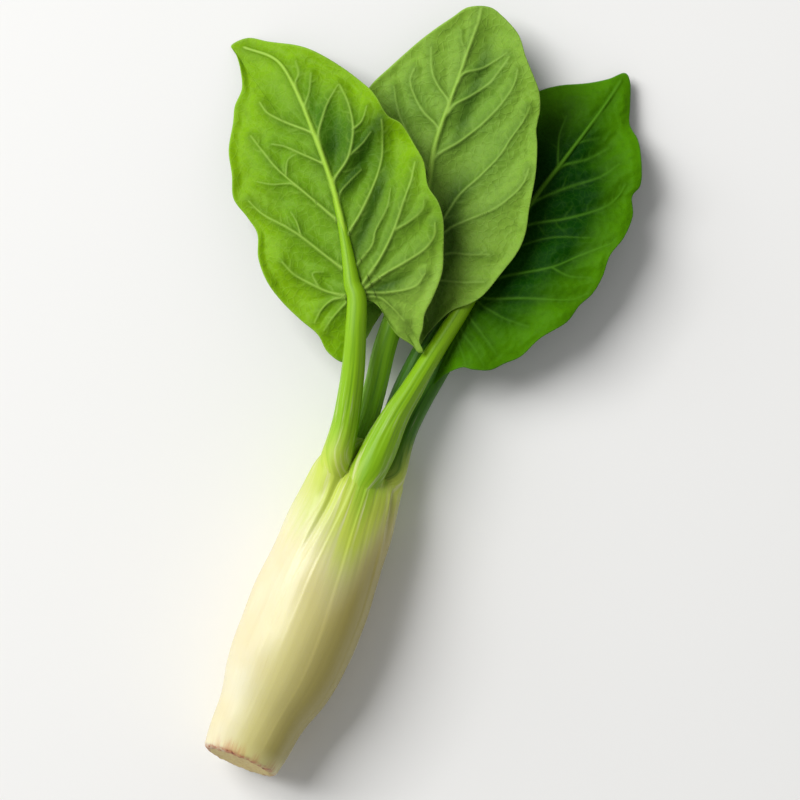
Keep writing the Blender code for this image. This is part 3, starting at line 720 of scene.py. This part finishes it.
def twigs(veins, seed):
    """Small veins that branch off the side veins: each starts on a side vein, leans away from
    it by 40 to 75 degrees, and bends back toward the way that the side vein goes."""
    draw = np.random.default_rng(seed)
    grown = []
    for strength, *points in veins:
        if strength < 0.7:
            continue
        line = spline(points, 60)
        length = np.linalg.norm(np.diff(line, axis=0), axis=1).sum()
        hand = draw.choice((-1.0, 1.0))
        for at in np.arange(3.5, length - 1.5, 3.6) + draw.uniform(-0.9, 0.9):
            k = int(np.clip(at / length * 59, 0, 58))
            way = np.arctan2(*(line[k + 1] - line[k])[::-1])
            hand = -hand if draw.random() < 0.8 else hand
            turn = way + hand * radians(draw.uniform(40, 75))
            curl = -hand * radians(draw.uniform(10, 45))
            reach = draw.uniform(3.0, 7.5) * (1 - 0.4 * k / 59)
            step = np.linspace(0, 1, 9)[1:]
            bend = turn + curl * step + 0.25 * np.sin(step * 7 + k)
            moves = reach / 8 * np.stack((np.cos(bend), np.sin(bend)), 1)
            grown.append((draw.uniform(0.22, 0.42), np.vstack((line[k], line[k] + np.cumsum(moves, 0)))))
    return grown


def vein_relief(blade, u, v):
    """The veins' height, their colour mask, the distance to the nearest large one, and how
    close the midrib is. Each vein is a rounded ridge that narrows and sinks toward its end."""
    gap, far = nearest_on(spline(blade["midrib"], 60), u, v, 8.0)
    half = 0.42 + 0.85 * (1 - far) ** 1.4
    rise = (0.65 + 1.5 * (1 - far) ** 1.3) * np.clip(1 - (gap / (1.6 * half)) ** 2, 0, 1) ** 0.8
    mask = np.exp(-(gap / half) ** 4)
    rib = mask * (1 - far)
    nearest = gap.copy()
    for strength, *points in blade["veins"]:
        gap, far = nearest_on(spline(points, 26), u, v, 7.0)
        taper = 1 - 0.75 * far
        half = (0.26 + 0.30 * strength) * (0.45 + 0.55 * taper)
        ridge = np.exp(-(gap / (1.2 * half)) ** 2)
        rise = np.maximum(rise, 1.25 * strength * taper * ridge * blade["vein_rise"])
        mask = np.maximum(mask, np.exp(-(gap / (0.95 * half)) ** 2) * (0.4 + 0.6 * taper)
                          * min(1.0, 0.4 + 0.6 * strength))
        nearest = np.minimum(nearest, gap + 3.0 * (1 - strength) * far)
    for strength, line in twigs(blade["veins"], blade["seed"] + 40):
        gap, far = nearest_on(line, u, v, 2.0)
        ridge = np.exp(-(gap / 0.36) ** 2) * (1 - 0.7 * far)
        rise = np.maximum(rise, 0.75 * strength * ridge * blade["vein_rise"])
        mask = np.maximum(mask, 0.85 * strength * ridge)
    return rise, mask, nearest, rib


def even_phase(bearing):
    """Where each margin point is in the round of waves, evened out by bearing so that the waves
    run on smoothly past a corner of the margin."""
    turns = (bearing - bearing[0]) / (2 * np.pi)
    grid = np.linspace(0, 1, 721)[:-1]
    drift = np.interp(grid, turns, np.arange(len(turns)) / len(turns)) - grid
    drift = np.convolve(np.r_[drift[-14:], drift, drift[:14]], np.ones(29) / 29, "valid")
    return turns + np.interp(turns, grid, drift)


def blade_rings(blade, cells):
    """Each grid point's place on the blade, how far out it is and where in the round of waves:
    rings between an inner point and the margin, which never turns back as seen from there."""
    out, turn = disc_grid(cells)
    middle = np.asarray(blade["middle"])
    rim = spline(blade["margin"], MARGIN_STEPS, closed=True) - middle
    bearing = np.maximum.accumulate(np.unwrap(np.arctan2(rim[:, 1], rim[:, 0])))
    rim = middle + np.hypot(*rim.T)[:, None] * np.stack((np.cos(bearing), np.sin(bearing)), 1)
    rim = np.vstack((rim, rim[:1]))
    phase = np.append(even_phase(bearing), 1.0)
    step, steps = turn * MARGIN_STEPS, np.arange(MARGIN_STEPS + 1)
    reach = out ** 0.9
    u = middle[0] + reach * (np.interp(step, steps, rim[:, 0]) - middle[0])
    v = middle[1] + reach * (np.interp(step, steps, rim[:, 1]) - middle[1])
    return u, v, reach, np.interp(step, steps, phase)


def between_veins(blade, u, v, nearest, mask, shore, quilt_height):
    """How the skin rises and sinks between the veins: the soft quilting, which is fullest far
    from every vein and gone at the margin, and crinkles of two sizes."""
    quilt = blade["sag"] * quilt_height * (1 - np.exp(-(nearest / 3.6) ** 2)) * shore
    crinkle = 0.34 * swell(u, v, blade["seed"], 11.0) + 0.10 * swell(u, v, blade["seed"] + 1, 3.0)
    return quilt + crinkle * (1 - mask) * (0.35 + 0.65 * shore)


def both_faces(values):
    """The same values for the blade's upper and its lower face."""
    return np.r_[values.ravel(), values.ravel()]


def blade_surface(blade, sizes):
    """A blade: its mid surface raised and lowered by half its thickness, with the veins on the
    face that looks up and at a third of their height in the other. Both faces meet in a
    rounded margin."""
    cells = int(BLADE_CELLS * DETAIL)
    u, v, reach, phase = blade_rings(blade, cells)
    rise, mask, nearest, rib = vein_relief(blade, u, v)
    shore = 1 - ease(reach, 0.90, 1.0)
    rise = rise * (0.25 + 0.75 * shore) * sizes.vein_height / 0.001
    level = blade_level(blade, u, v, reach, phase)
    level = level + between_veins(blade, u, v, nearest, mask, shore, sizes.quilt_height * 1000)
    half = 0.32 + 0.14 * (1 - reach ** 4)
    level = np.maximum(level, half)
    edge = half * np.sqrt(np.clip(1 - ((reach - 0.985) / 0.015).clip(0) ** 2, 0.06, 1))
    x, y = blade_place(blade, u, v)
    upper = np.stack((x, y, level + edge + rise), 2).reshape(-1, 3)
    lower = np.stack((x, y, level - edge + 0.33 * rise * shore), 2).reshape(-1, 3)
    lower[:, 2] = np.maximum(lower[:, 2], 0.0)
    index = np.arange(u.size).reshape(u.shape)
    ring = np.concatenate((index[0, :-1], index[:-1, -1], index[-1, :0:-1], index[:0:-1, 0]))
    wall = np.stack((ring, np.roll(ring, -1), np.roll(ring, -1) + u.size, ring + u.size), 1)
    top = grid_quads(index)
    layers = {
        "vein": both_faces(mask),
        # Where painted shade falls beside the veins.
        "vein_shade": both_faces(np.exp(-(nearest / 2.2) ** 2)),
        "outward": both_faces(reach),
        "off_rib": both_faces(u - midrib_side(blade, v)),
        "rib": both_faces(rib),
        # Where the bands of painted shade fall.
        "shade_band": both_faces(sum(hollow((*shade_line, 1.0), u, v) for shade_line in blade["shade_bands"])),
        "ahead": both_faces(v / blade["length"]),
        "underside": np.r_[np.ones(u.size), np.zeros(u.size)],
    }
    return np.vstack((upper, lower)), np.vstack((top, top[:, ::-1] + u.size, wall)), layers


# ----------------------------------------------------------------------------------------
# Materials
# ----------------------------------------------------------------------------------------

class Wire:
    """A shader value that adds the Math node for each operation done with it."""

    def __init__(self, paint, socket):
        self.paint = paint
        self.socket = socket

    def maths(self, kind, first, second):
        """The Math node of one kind, fed by two values."""
        return self.paint.add("ShaderNodeMath", {"operation": kind}, {0: first, 1: second})

    def __add__(self, other):
        return self.maths("ADD", self, other)

    __radd__ = __add__

    def __sub__(self, other):
        return self.maths("SUBTRACT", self, other)

    def __rsub__(self, other):
        return self.maths("SUBTRACT", other, self)

    def __mul__(self, other):
        return self.maths("MULTIPLY", self, other)

    __rmul__ = __mul__

    def ease(self, low, high):
        """0 below low, 1 above high and a smooth S between them."""
        return self.paint.add("ShaderNodeMapRange", {"interpolation_type": "SMOOTHSTEP"},
                              {"Value": self, "From Min": low, "From Max": high})


class Paint:
    """A material as it is being mixed: its nodes, and its shader's sockets."""

    def __init__(self, name):
        self.material = bpy.data.materials.new(name)
        self.material.use_nodes = True
        self.tree = self.material.node_tree
        self.shader = self.tree.nodes["Principled BSDF"]

    def feed(self, socket, value):
        """Sets a socket to a value, a colour or a wire."""
        if isinstance(value, Wire):
            self.tree.links.new(value.socket, socket)
        elif isinstance(value, (tuple, list)) and len(value) == 3 and socket.type == "RGBA":
            socket.default_value = (*value, 1.0)
        else:
            socket.default_value = value

    def add(self, kind, settings=(), sockets=(), out=0):
        """Adds a node of one kind, sets it up, then feeds its sockets."""
        node = self.tree.nodes.new(kind)
        for key, value in dict(settings).items():
            setattr(node, key, value)
        for key, value in dict(sockets).items():
            self.feed(node.inputs[key], value)
        return Wire(self, node.outputs[out])

    def layer(self, name, out=2):
        """A value kept on the piece's own points."""
        return self.add("ShaderNodeAttribute", {"attribute_name": name}, (), out)

    def place(self):
        """The point's place on the piece."""
        return self.add("ShaderNodeTexCoord", (), (), 3)

    def noise(self, where, scale, detail=3.0, rough=0.5):
        """Soft uneven noise of 0 to 1."""
        return self.add("ShaderNodeTexNoise", {"noise_dimensions": "3D"},
                        {"Vector": where, "Scale": scale, "Detail": detail, "Roughness": rough})

    def cells(self, where, scale):
        """How far each point is from the border between scattered cells."""
        return self.add("ShaderNodeTexVoronoi", {"feature": "DISTANCE_TO_EDGE"},
                        {"Vector": where, "Scale": scale})

    def mix(self, share, one, other):
        """One colour going over to another by a share of 0 to 1."""
        return self.add("ShaderNodeMix", {"data_type": "RGBA"}, {0: share, 6: one, 7: other}, 2)

    def bump(self, height, depth, strength):
        """A normal that follows a height of 0 to 1, which stands for a depth in metres."""
        return self.add("ShaderNodeBump", (),
                        {"Height": height, "Distance": depth, "Strength": strength})

    def finish(self, **sockets):
        """Feeds the shader's own sockets, named with underscores, and gives the material."""
        for key, value in sockets.items():
            self.feed(self.shader.inputs[key.replace("_", " ")], value)
        return self.material


def skin_colour(paint, colours, streaks, fibres, green, shade):
    """The skin's colour from belly to stalk: cream with painted shade low down near the table,
    then yellow-green, then green, with the turning point pushed up and down by the lengthwise streaks."""
    ripe = paint.layer("ripe")
    broad = paint.noise(paint.place(), 38.0, 2.0)
    height = paint.add("ShaderNodeSeparateXYZ", (), {0: paint.place()}, 2)
    cream = paint.mix(broad.ease(0.38, 0.66), tuple(colours.flesh), tuple(colours.flesh_warm))
    # Darker low down near the table: painted shade.
    cream = paint.mix(height.ease(0.030, 0.006) * 0.5, cream, tuple(colours.low_shade_and_fibres))
    turning = ripe + (streaks - 0.5) * 0.26 + (fibres - 0.5) * 0.10
    skin = paint.mix(turning.ease(0.06, 0.52), cream, tuple(colours.neck))
    skin = paint.mix(turning.ease(0.48, 0.82), skin, green)
    deep = streaks.ease(0.50, 0.70) * turning.ease(0.5, 0.9)
    skin = paint.mix(deep * 0.5, skin, shade)
    pale = streaks.ease(0.46, 0.33) * turning.ease(0.30, 0.5) * ripe.ease(1.0, 0.75)
    skin = paint.mix(pale * 0.45, skin, tuple(colours.flesh))
    return paint.mix(fibres.ease(0.50, 0.75) * turning.ease(0.4, 0.9) * 0.22, skin, shade)


# What the base and the stalks share: light goes a little way into both.
MOIST = dict(Subsurface_Weight=0.12, Subsurface_Radius=(0.8, 0.9, 0.25), Subsurface_Scale=0.002,
             Specular_IOR_Level=0.3)


def belly_skin(paint, colours, streaks, fibres, around, from_rim):
    """The base's skin: paler on its left, as painted light where the lamp's sheen falls, and yellower
    over its top and right, with painted shade on its right flank, fine lengthwise fibres,
    and stained in patches close to the cut."""
    skin = skin_colour(paint, colours, streaks, fibres, tuple(colours.stalk),
                       tuple(colours.stalk_shade))
    unripe = paint.layer("ripe").ease(0.50, 0.10)
    # Yellower over the top and right, leaving the left pale: painted light from the lamp on the left.
    skin = paint.mix(around.ease(2.45, 1.5) * unripe, skin, tuple(colours.flesh_mid))
    # Painted shade on the right flank, the side away from the lamp.
    shaded_flank = around.ease(1.75, 0.6) * 0.9 + around.ease(5.4, 6.2) * 0.6 - 0.15 * (streaks - 0.5)
    shaded_flank = shaded_flank * from_rim.ease(1.0, 8.0) * unripe
    skin = paint.mix(shaded_flank, skin, tuple(colours.shaded_flank))
    skin = paint.mix(fibres.ease(0.50, 0.75) * 0.14 * unripe, skin, tuple(colours.low_shade_and_fibres))
    patch = paint.noise(paint.layer("grain", 1), 0.20, 2.0).ease(0.40, 0.60)
    stain = (from_rim + (streaks - 0.5) * 9.0 + (fibres - 0.5) * 10.0).ease(5.5, 0.2) * patch
    return paint.mix(stain * 0.5, skin, tuple(colours.stain))


def cut_face(paint, colours, marbling, bundles):
    """The tan face of the knife cut: marbled, with browner borders round its fibre bundles."""
    face = paint.mix(marbling.ease(0.4, 0.7) * 0.5, tuple(colours.cut), tuple(colours.cut_deep))
    return paint.mix(bundles.ease(0.16, 0.04) * 0.15, face, tuple(colours.stain))


def flesh_finish(colours):
    """Blanched flesh of the base: cream turning green toward the neck, with a soft wet sheen,
    and on the cut a rougher tan face with a browned, specked rim."""
    paint = Paint("blanched_flesh")
    grain, from_rim, around = paint.layer("grain", 1), paint.layer("from_rim"), paint.layer("around")
    streaks, fibres = paint.noise(grain, 0.42, 4.0, 0.6), paint.noise(grain, 2.2, 3.0, 0.65)
    spots = paint.noise(paint.place(), 620.0, 2.0)
    marbling = paint.noise(paint.place(), 900.0, 3.0)
    bundles = paint.cells(paint.place(), 420.0)
    skin = belly_skin(paint, colours, streaks, fibres, around, from_rim)
    face = cut_face(paint, colours, marbling, bundles)
    colour = paint.mix(from_rim.ease(-0.3, -0.8), skin, face)
    upper = around.ease(0.2, 0.7) * around.ease(3.7, 3.0)
    rim = from_rim.ease(-0.7, -0.05) * from_rim.ease(1.3, 0.4)
    rim = rim * (0.25 + 0.75 * spots.ease(0.35, 0.6)) * (0.25 + 0.75 * upper)
    colour = paint.mix(rim * 0.85, colour, tuple(colours.stain))
    colour = paint.mix(rim * spots.ease(0.60, 0.70), colour, tuple(colours.scab))
    cut_grain = from_rim.ease(-0.3, -1.0) * (bundles.ease(0.0, 0.2) * 0.4 + marbling * 0.6)
    normal = paint.bump(fibres * 0.6 + streaks * 0.4 + cut_grain, 0.00008, 0.5)
    rough = 0.36 + 0.16 * fibres + from_rim.ease(0.5, -0.5) * 0.3
    sheen = paint.layer("ripe").ease(0.60, 0.15) * from_rim.ease(-0.5, 1.5)
    return paint.finish(Base_Color=colour, Roughness=rough, Normal=normal,
                        Coat_Weight=sheen * 0.5, Coat_Roughness=0.22, **MOIST)


def stalk_finish(name, colours, body, shade):
    """Stalk skin: the base's own colours at the foot and green above, with lengthwise streaks
    that go over from the base's grain to the stalk's."""
    paint = Paint(name)
    own = paint.layer("along").ease(112.0, 132.0)
    grain, strand = paint.layer("grain", 1), paint.layer("strand", 1)
    low_streaks, low_fibres = paint.noise(grain, 0.42, 4.0, 0.6), paint.noise(grain, 2.2, 3.0, 0.65)
    streaks = low_streaks + own * (paint.noise(strand, 0.55, 4.0, 0.6) - low_streaks)
    fibres = low_fibres + own * (paint.noise(strand, 2.4, 3.0, 0.65) - low_fibres)
    colour = skin_colour(paint, colours, streaks, fibres, body, shade)
    normal = paint.bump(fibres * 0.6 + streaks * 0.4, 0.00008, 0.5)
    return paint.finish(Base_Color=colour, Roughness=0.36 + 0.16 * fibres, Normal=normal, **MOIST)


def blade_body(paint, look, sunk, outward):
    """The skin between a blade's veins: paler beside the midrib and low on the right half,
    painted shade high on it, and toward the margin its own more vivid green with painted light."""
    off, ahead = paint.layer("off_rib"), paint.layer("ahead")
    cloud = paint.noise(paint.place(), 55.0, 3.0)
    inner = off.ease(-10.0, -1.0) * off.ease(2.0, -0.5)
    body = paint.mix(cloud.ease(0.35, 0.7) * 0.25 + inner * look["inner"], look["body"],
                     look["body_pale"])
    right = off.ease(0.0, 3.0)
    lower = ahead.ease(look["pale_to"], look["pale_to"] - 0.3)
    body = paint.mix(right * lower * look["pale_right"], body, look["body_pale"])
    # Painted shade high on the right half.
    upper = right * ahead.ease(look["pale_to"] - 0.15, look["pale_to"] + 0.15)
    body = paint.mix(upper * look["deep"], body, look["painted_shade_green"])
    # Toward the margin: partly the leaf's own more vivid green, partly painted light.
    lit_and_vivid_margin = (outward + (cloud - 0.5) * 0.3).ease(look["lit_and_vivid_from"], 0.95)
    body = paint.mix(lit_and_vivid_margin * (1.0 - right * lower * look["calm_right"]) * look["lit_and_vivid_margin"], body,
                     look["margin"])
    lobe = right * ahead.ease(0.10, -0.12) * (1.0 - sunk) * look["lobe"]
    return paint.mix(lobe, body, look["vein"])


def blade_finish(name, colours, look):
    """Leaf skin: the body colour with a fine net and faint mottling, painted shade in bands
    and beside the veins, pale veins with a yellower midrib, a thin pale edge, fine crinkles, and
    the blade's other face in a darker green."""
    paint = Paint(name)
    place = paint.place()
    vein, outward, sunk = paint.layer("vein"), paint.layer("outward"), paint.layer("shade_band")
    mottle = paint.noise(place, 380.0, 4.0, 0.6)
    fleck = paint.noise(place, 1300.0, 2.0, 0.6)
    net = paint.cells(place, 400.0).ease(0.14, 0.0) * (1.0 - vein)
    body = blade_body(paint, look, sunk, outward)
    body = paint.mix(net * look["net"], body, look["vein"])
    # Painted shade in bands, where the blade lies in shade or in another blade's shadow.
    body = paint.mix(sunk * look["sunk"], body, look["shade_and_mottle"])
    body = paint.mix(mottle.ease(0.45, 0.75) * 0.16, body, look["shade_and_mottle"])
    body = paint.mix(fleck.ease(0.55, 0.75) * 0.07, body, look["vein"])
    # Painted shade beside the veins.
    body = paint.mix(paint.layer("vein_shade") * look["near"] * (1.0 - vein), body, look["shade_and_mottle"])
    body = paint.mix(vein * look["vein_show"], body, look["vein"])
    body = paint.mix(paint.layer("rib") * 1.3 * look["rib_show"], body, tuple(colours.midrib))
    body = paint.mix(outward.ease(0.984, 0.996) * look["edge"], body, look["vein"])
    top = paint.mix(vein * 0.5, look["upper"], look["vein"])
    colour = paint.mix(paint.layer("underside"), top, body)
    height = mottle * 0.6 + fleck * 0.25 + net * 0.5
    normal = paint.bump(height * (1.0 - vein), 0.00024, look["bump"])
    rough = 0.46 + 0.12 * mottle - 0.06 * vein
    return paint.finish(Base_Color=colour, Roughness=rough, Normal=normal,
                        Subsurface_Weight=0.06, Subsurface_Radius=(0.4, 1.0, 0.1),
                        Subsurface_Scale=0.001, Specular_IOR_Level=look["shine"])


# ----------------------------------------------------------------------------------------
# Settings
# ----------------------------------------------------------------------------------------

def length_prop(name, description, default):
    """A length in metres that a user may change."""
    return bpy.props.FloatProperty(name=name, description=description, default=default,
                                   min=0.0, unit="LENGTH", precision=5)


def colour_prop(name, description, default):
    """A colour that a user may change."""
    return bpy.props.FloatVectorProperty(name=name, description=description, default=default,
                                         size=3, min=0.0, max=1.0, subtype="COLOR")


class TaroSizes(bpy.types.PropertyGroup):
    """Sizes of the shoot's surface relief."""

    rib_height: length_prop("Rib height", "Height of the lengthwise ribs", 0.00008)
    vein_height: length_prop("Vein height", "Height of the midrib at its foot", 0.001)
    quilt_height: length_prop("Quilting", "How far a blade sinks or swells between veins", 0.0016)


class TaroColours(bpy.types.PropertyGroup):
    """Colours of the shoot's skins."""

    flesh: colour_prop("Flesh", "Base where it is palest", tint(222, 217, 186))
    flesh_warm: colour_prop("Warm flesh", "Warmer patches of the base", tint(216, 206, 166))
    # Over the base's top and right, against its paler left: painted light from the lamp on the left.
    flesh_mid: colour_prop("Base on its top", "Yellower top of the base", tint(208, 200, 132))
    # Painted shade on the base's right flank, the side away from the lamp.
    shaded_flank: colour_prop("Flank", "Deeper flank of the base", tint(168, 154, 70))
    # Painted shade low on the base near the table, and the tone of its fine fibres.
    low_shade_and_fibres: colour_prop("Low flesh", "Base low on its sides", tint(196, 178, 98))
    neck: colour_prop("Neck", "Neck of the base and streaks on the stalks", tint(184, 200, 74))
    stalk: colour_prop("Stalk", "Stalks above the neck", tint(130, 178, 8))
    stalk_shade: colour_prop("Stalk shade", "Deeper streaks on the stalks", tint(88, 140, 2))
    middle: colour_prop("Middle stalk", "Stalk between the front ones", tint(112, 164, 6))
    inner: colour_prop("Inner stalks", "Stalks that stand behind", tint(66, 122, 4))
    inner_shade: colour_prop("Inner shade", "Deeper streaks on those", tint(26, 72, 2))
    cut: colour_prop("Cut", "Face of the knife cut", tint(224, 206, 142))
    cut_deep: colour_prop("Deep cut", "Darker parts of the cut", tint(208, 184, 116))
    stain: colour_prop("Stain", "Browned rim of the cut", tint(186, 104, 62))
    scab: colour_prop("Scab", "Dark specks on the rim", tint(108, 48, 20))
    midrib: colour_prop("Midribs", "Foot of a blade's midrib", tint(160, 204, 44))


# The blades' finishes: seven colours, then how strong or how far out each effect is, with
# pale_to and the start of the margin's colour as shares of the blade's length and of the way
# to the margin. The colour that darkens the mottling also paints shade in bands and beside the
# veins, the green high on the right half is painted shade, and the vivid margin is partly
# painted light.
LOOKS = {
    "blade_left": dict(
        body=tint(104, 150, 14), body_pale=tint(106, 147, 38), shade_and_mottle=tint(14, 56, 0),
        painted_shade_green=tint(64, 112, 2), margin=tint(122, 168, 4), vein=tint(150, 186, 78),
        upper=tint(60, 120, 14), inner=0.5, pale_to=0.42, pale_right=0.95, deep=0.85, lit_and_vivid_margin=0.9,
        lit_and_vivid_from=0.50, calm_right=0.8, sunk=0.75, near=0.34, vein_show=0.9, rib_show=0.8,
        edge=0.3, bump=0.5, lobe=0.5, net=0.10, shine=0.10),
    "blade_middle": dict(
        body=tint(110, 150, 48), body_pale=tint(134, 172, 64), shade_and_mottle=tint(16, 60, 0),
        painted_shade_green=tint(100, 142, 40), margin=tint(128, 168, 50), vein=tint(146, 184, 80),
        upper=tint(54, 112, 14), inner=0.4, pale_to=0.6, pale_right=0.3, deep=0.4, lit_and_vivid_margin=0.6,
        lit_and_vivid_from=0.55, calm_right=0.2, sunk=0.62, near=0.34, vein_show=0.75, rib_show=0.4,
        edge=0.4, bump=0.7, lobe=0.0, net=0.12, shine=0.10),
    # The right blade's body colours are its own dark green darkened further as painted shadow of the
    # middle blade above it; its paler margin is painted light.
    "blade_right": dict(
        body=tint(6, 51, 0), body_pale=tint(18, 67, 0), shade_and_mottle=tint(1, 28, 0),
        painted_shade_green=tint(6, 51, 0), margin=tint(72, 126, 2), vein=tint(78, 130, 28),
        upper=tint(30, 80, 8), inner=0.0, pale_to=0.5, pale_right=0.4, deep=0.4, lit_and_vivid_margin=0.95,
        lit_and_vivid_from=0.44, calm_right=0.0, sunk=0.5, near=0.2, vein_show=0.7, rib_show=0.1,
        edge=0.7, bump=0.25, lobe=0.0, net=0.06, shine=0.03),
}


# ----------------------------------------------------------------------------------------
# Operators
# ----------------------------------------------------------------------------------------

class TARO_OT_base(bpy.types.Operator):
    """Grow the swollen base with its knife cut"""

    bl_idname = "taro.base"
    bl_label = "Base"

    def execute(self, context):
        points, (quads, tris), layers = base_surface(context.scene.taro_sizes)
        grow("shoot_base", points, quads, tris, layers, flesh_finish(context.scene.taro_colours))
        return {"FINISHED"}


class TARO_OT_stalks(bpy.types.Operator):
    """Grow the four stalks and the rolled young leaf"""

    bl_idname = "taro.stalks"
    bl_label = "Stalks"

    def execute(self, context):
        sizes, colours = context.scene.taro_sizes, context.scene.taro_colours
        for seed, (name, stalk) in enumerate(STALKS.items(), FIRST_STALK_SEED):
            line = stalk["line"]
            if "blade" in stalk:
                line = stalk_line(line, BLADES[stalk["blade"]])
            points, (quads, tris), layers = stalk_surface(
                line, sizes, stalk["ribs"], seed, stalk.get("wing"), stalk.get("lead", 0.0))
            body, shade = (tuple(getattr(colours, key)) for key in stalk["colours"])
            grow(name, points, quads, tris, layers, stalk_finish(name + "_skin", colours, body, shade))
        return {"FINISHED"}


class TARO_OT_blades(bpy.types.Operator):
    """Grow the three heart-shaped blades"""

    bl_idname = "taro.blades"
    bl_label = "Blades"

    def execute(self, context):
        for name, blade in BLADES.items():
            points, quads, layers = blade_surface(blade, context.scene.taro_sizes)
            look = blade_finish(name + "_skin", context.scene.taro_colours, LOOKS[name])
            grow(name, points, quads, np.zeros((0, 3), int), layers, look)
        return {"FINISHED"}


# A large soft lamp high on the left, and a smaller one that lights the base's left flank.
LIGHTS = {
    "key": dict(place=(-2.128, 0.590, 2.341), size=1.95, power=105.0, colour=(1.0, 0.995, 0.985)),
    "side": dict(place=(-2.6, -0.1, 1.0), size=1.3, power=15.0, colour=(1.0, 1.0, 1.0)),
}
LIT_POINT = (0.0, 0.02, 0.02)
ROOM_LIGHT = 0.31
FLOOR = ((-3, -3, 0), (3, -3, 0), (3, 3, 0), (-3, 3, 0))
CAMERA_PLACE = (0.02758, 0.00157, 1.2)   # straight above the shoot, looking down
CAMERA_TURN = radians(23.0)              # how far the view is turned from the shoot's length
LENS = 148.4


def soft_light(name, place, size, power, colour):
    """A square area light at a place, turned to face the shoot."""
    light = bpy.data.lights.new(name, "AREA")
    light.shape = "SQUARE"
    light.size = size
    light.energy = power
    light.color = colour
    lamp = bpy.data.objects.new(name, light)
    lamp.location = place
    lamp.rotation_euler = (Vector(LIT_POINT) - Vector(place)).to_track_quat("-Z", "Y").to_euler()
    bpy.context.scene.collection.objects.link(lamp)


class TARO_OT_stage(bpy.types.Operator):
    """Lay out the floor, the lights and the camera"""

    bl_idname = "taro.stage"
    bl_label = "Stage"

    def execute(self, context):
        scene = context.scene
        floor = bpy.data.meshes.new("floor")
        floor.from_pydata(FLOOR, [], [(0, 1, 2, 3)])
        ground = bpy.data.objects.new("floor", floor)
        scene.collection.objects.link(ground)
        paint = Paint("pale_floor")
        floor.materials.append(paint.finish(Base_Color=(0.86, 0.86, 0.85), Roughness=0.8,
                                            Specular_IOR_Level=0.2))
        for name, light in LIGHTS.items():
            soft_light(name, **light)
        world = bpy.data.worlds.new("room")
        world.use_nodes = True
        sky = world.node_tree.nodes["Background"]
        sky.inputs["Color"].default_value = (1.0, 1.0, 1.0, 1.0)
        sky.inputs["Strength"].default_value = ROOM_LIGHT
        scene.world = world
        scene.view_settings.view_transform = "Standard"
        lens = bpy.data.cameras.new("camera")
        lens.lens = LENS
        lens.sensor_width = 36.0
        camera = bpy.data.objects.new("camera", lens)
        camera.location = CAMERA_PLACE
        camera.rotation_euler = (0.0, 0.0, CAMERA_TURN)
        scene.collection.objects.link(camera)
        scene.camera = camera
        return {"FINISHED"}


class TARO_PT_panel(bpy.types.Panel):
    """Everything the shoot is grown from"""

    bl_label = "Taro shoot"
    bl_space_type = "VIEW_3D"
    bl_region_type = "UI"
    bl_category = "Taro"

    def draw(self, context):
        layout = self.layout
        for group in (context.scene.taro_sizes, context.scene.taro_colours):
            for key in group.__annotations__:
                layout.prop(group, key)
        for operator in OPERATORS:
            layout.operator(operator.bl_idname)


OPERATORS = (TARO_OT_base, TARO_OT_stalks, TARO_OT_blades, TARO_OT_stage)
CLASSES = (TaroSizes, TaroColours, *OPERATORS, TARO_PT_panel)


def register():
    """Add the classes and the settings to Blender."""
    for item in CLASSES:
        bpy.utils.register_class(item)
    bpy.types.Scene.taro_sizes = bpy.props.PointerProperty(type=TaroSizes)
    bpy.types.Scene.taro_colours = bpy.props.PointerProperty(type=TaroColours)


def unregister():
    """Take them out again."""
    del bpy.types.Scene.taro_colours
    del bpy.types.Scene.taro_sizes
    for item in reversed(CLASSES):
        bpy.utils.unregister_class(item)


def main():
    """Grow every piece and lay out the stage."""
    register()
    bpy.ops.taro.base()
    bpy.ops.taro.stalks()
    bpy.ops.taro.blades()
    bpy.ops.taro.stage()
    bpy.context.view_layer.update()


if __name__ == "__main__":
    main()
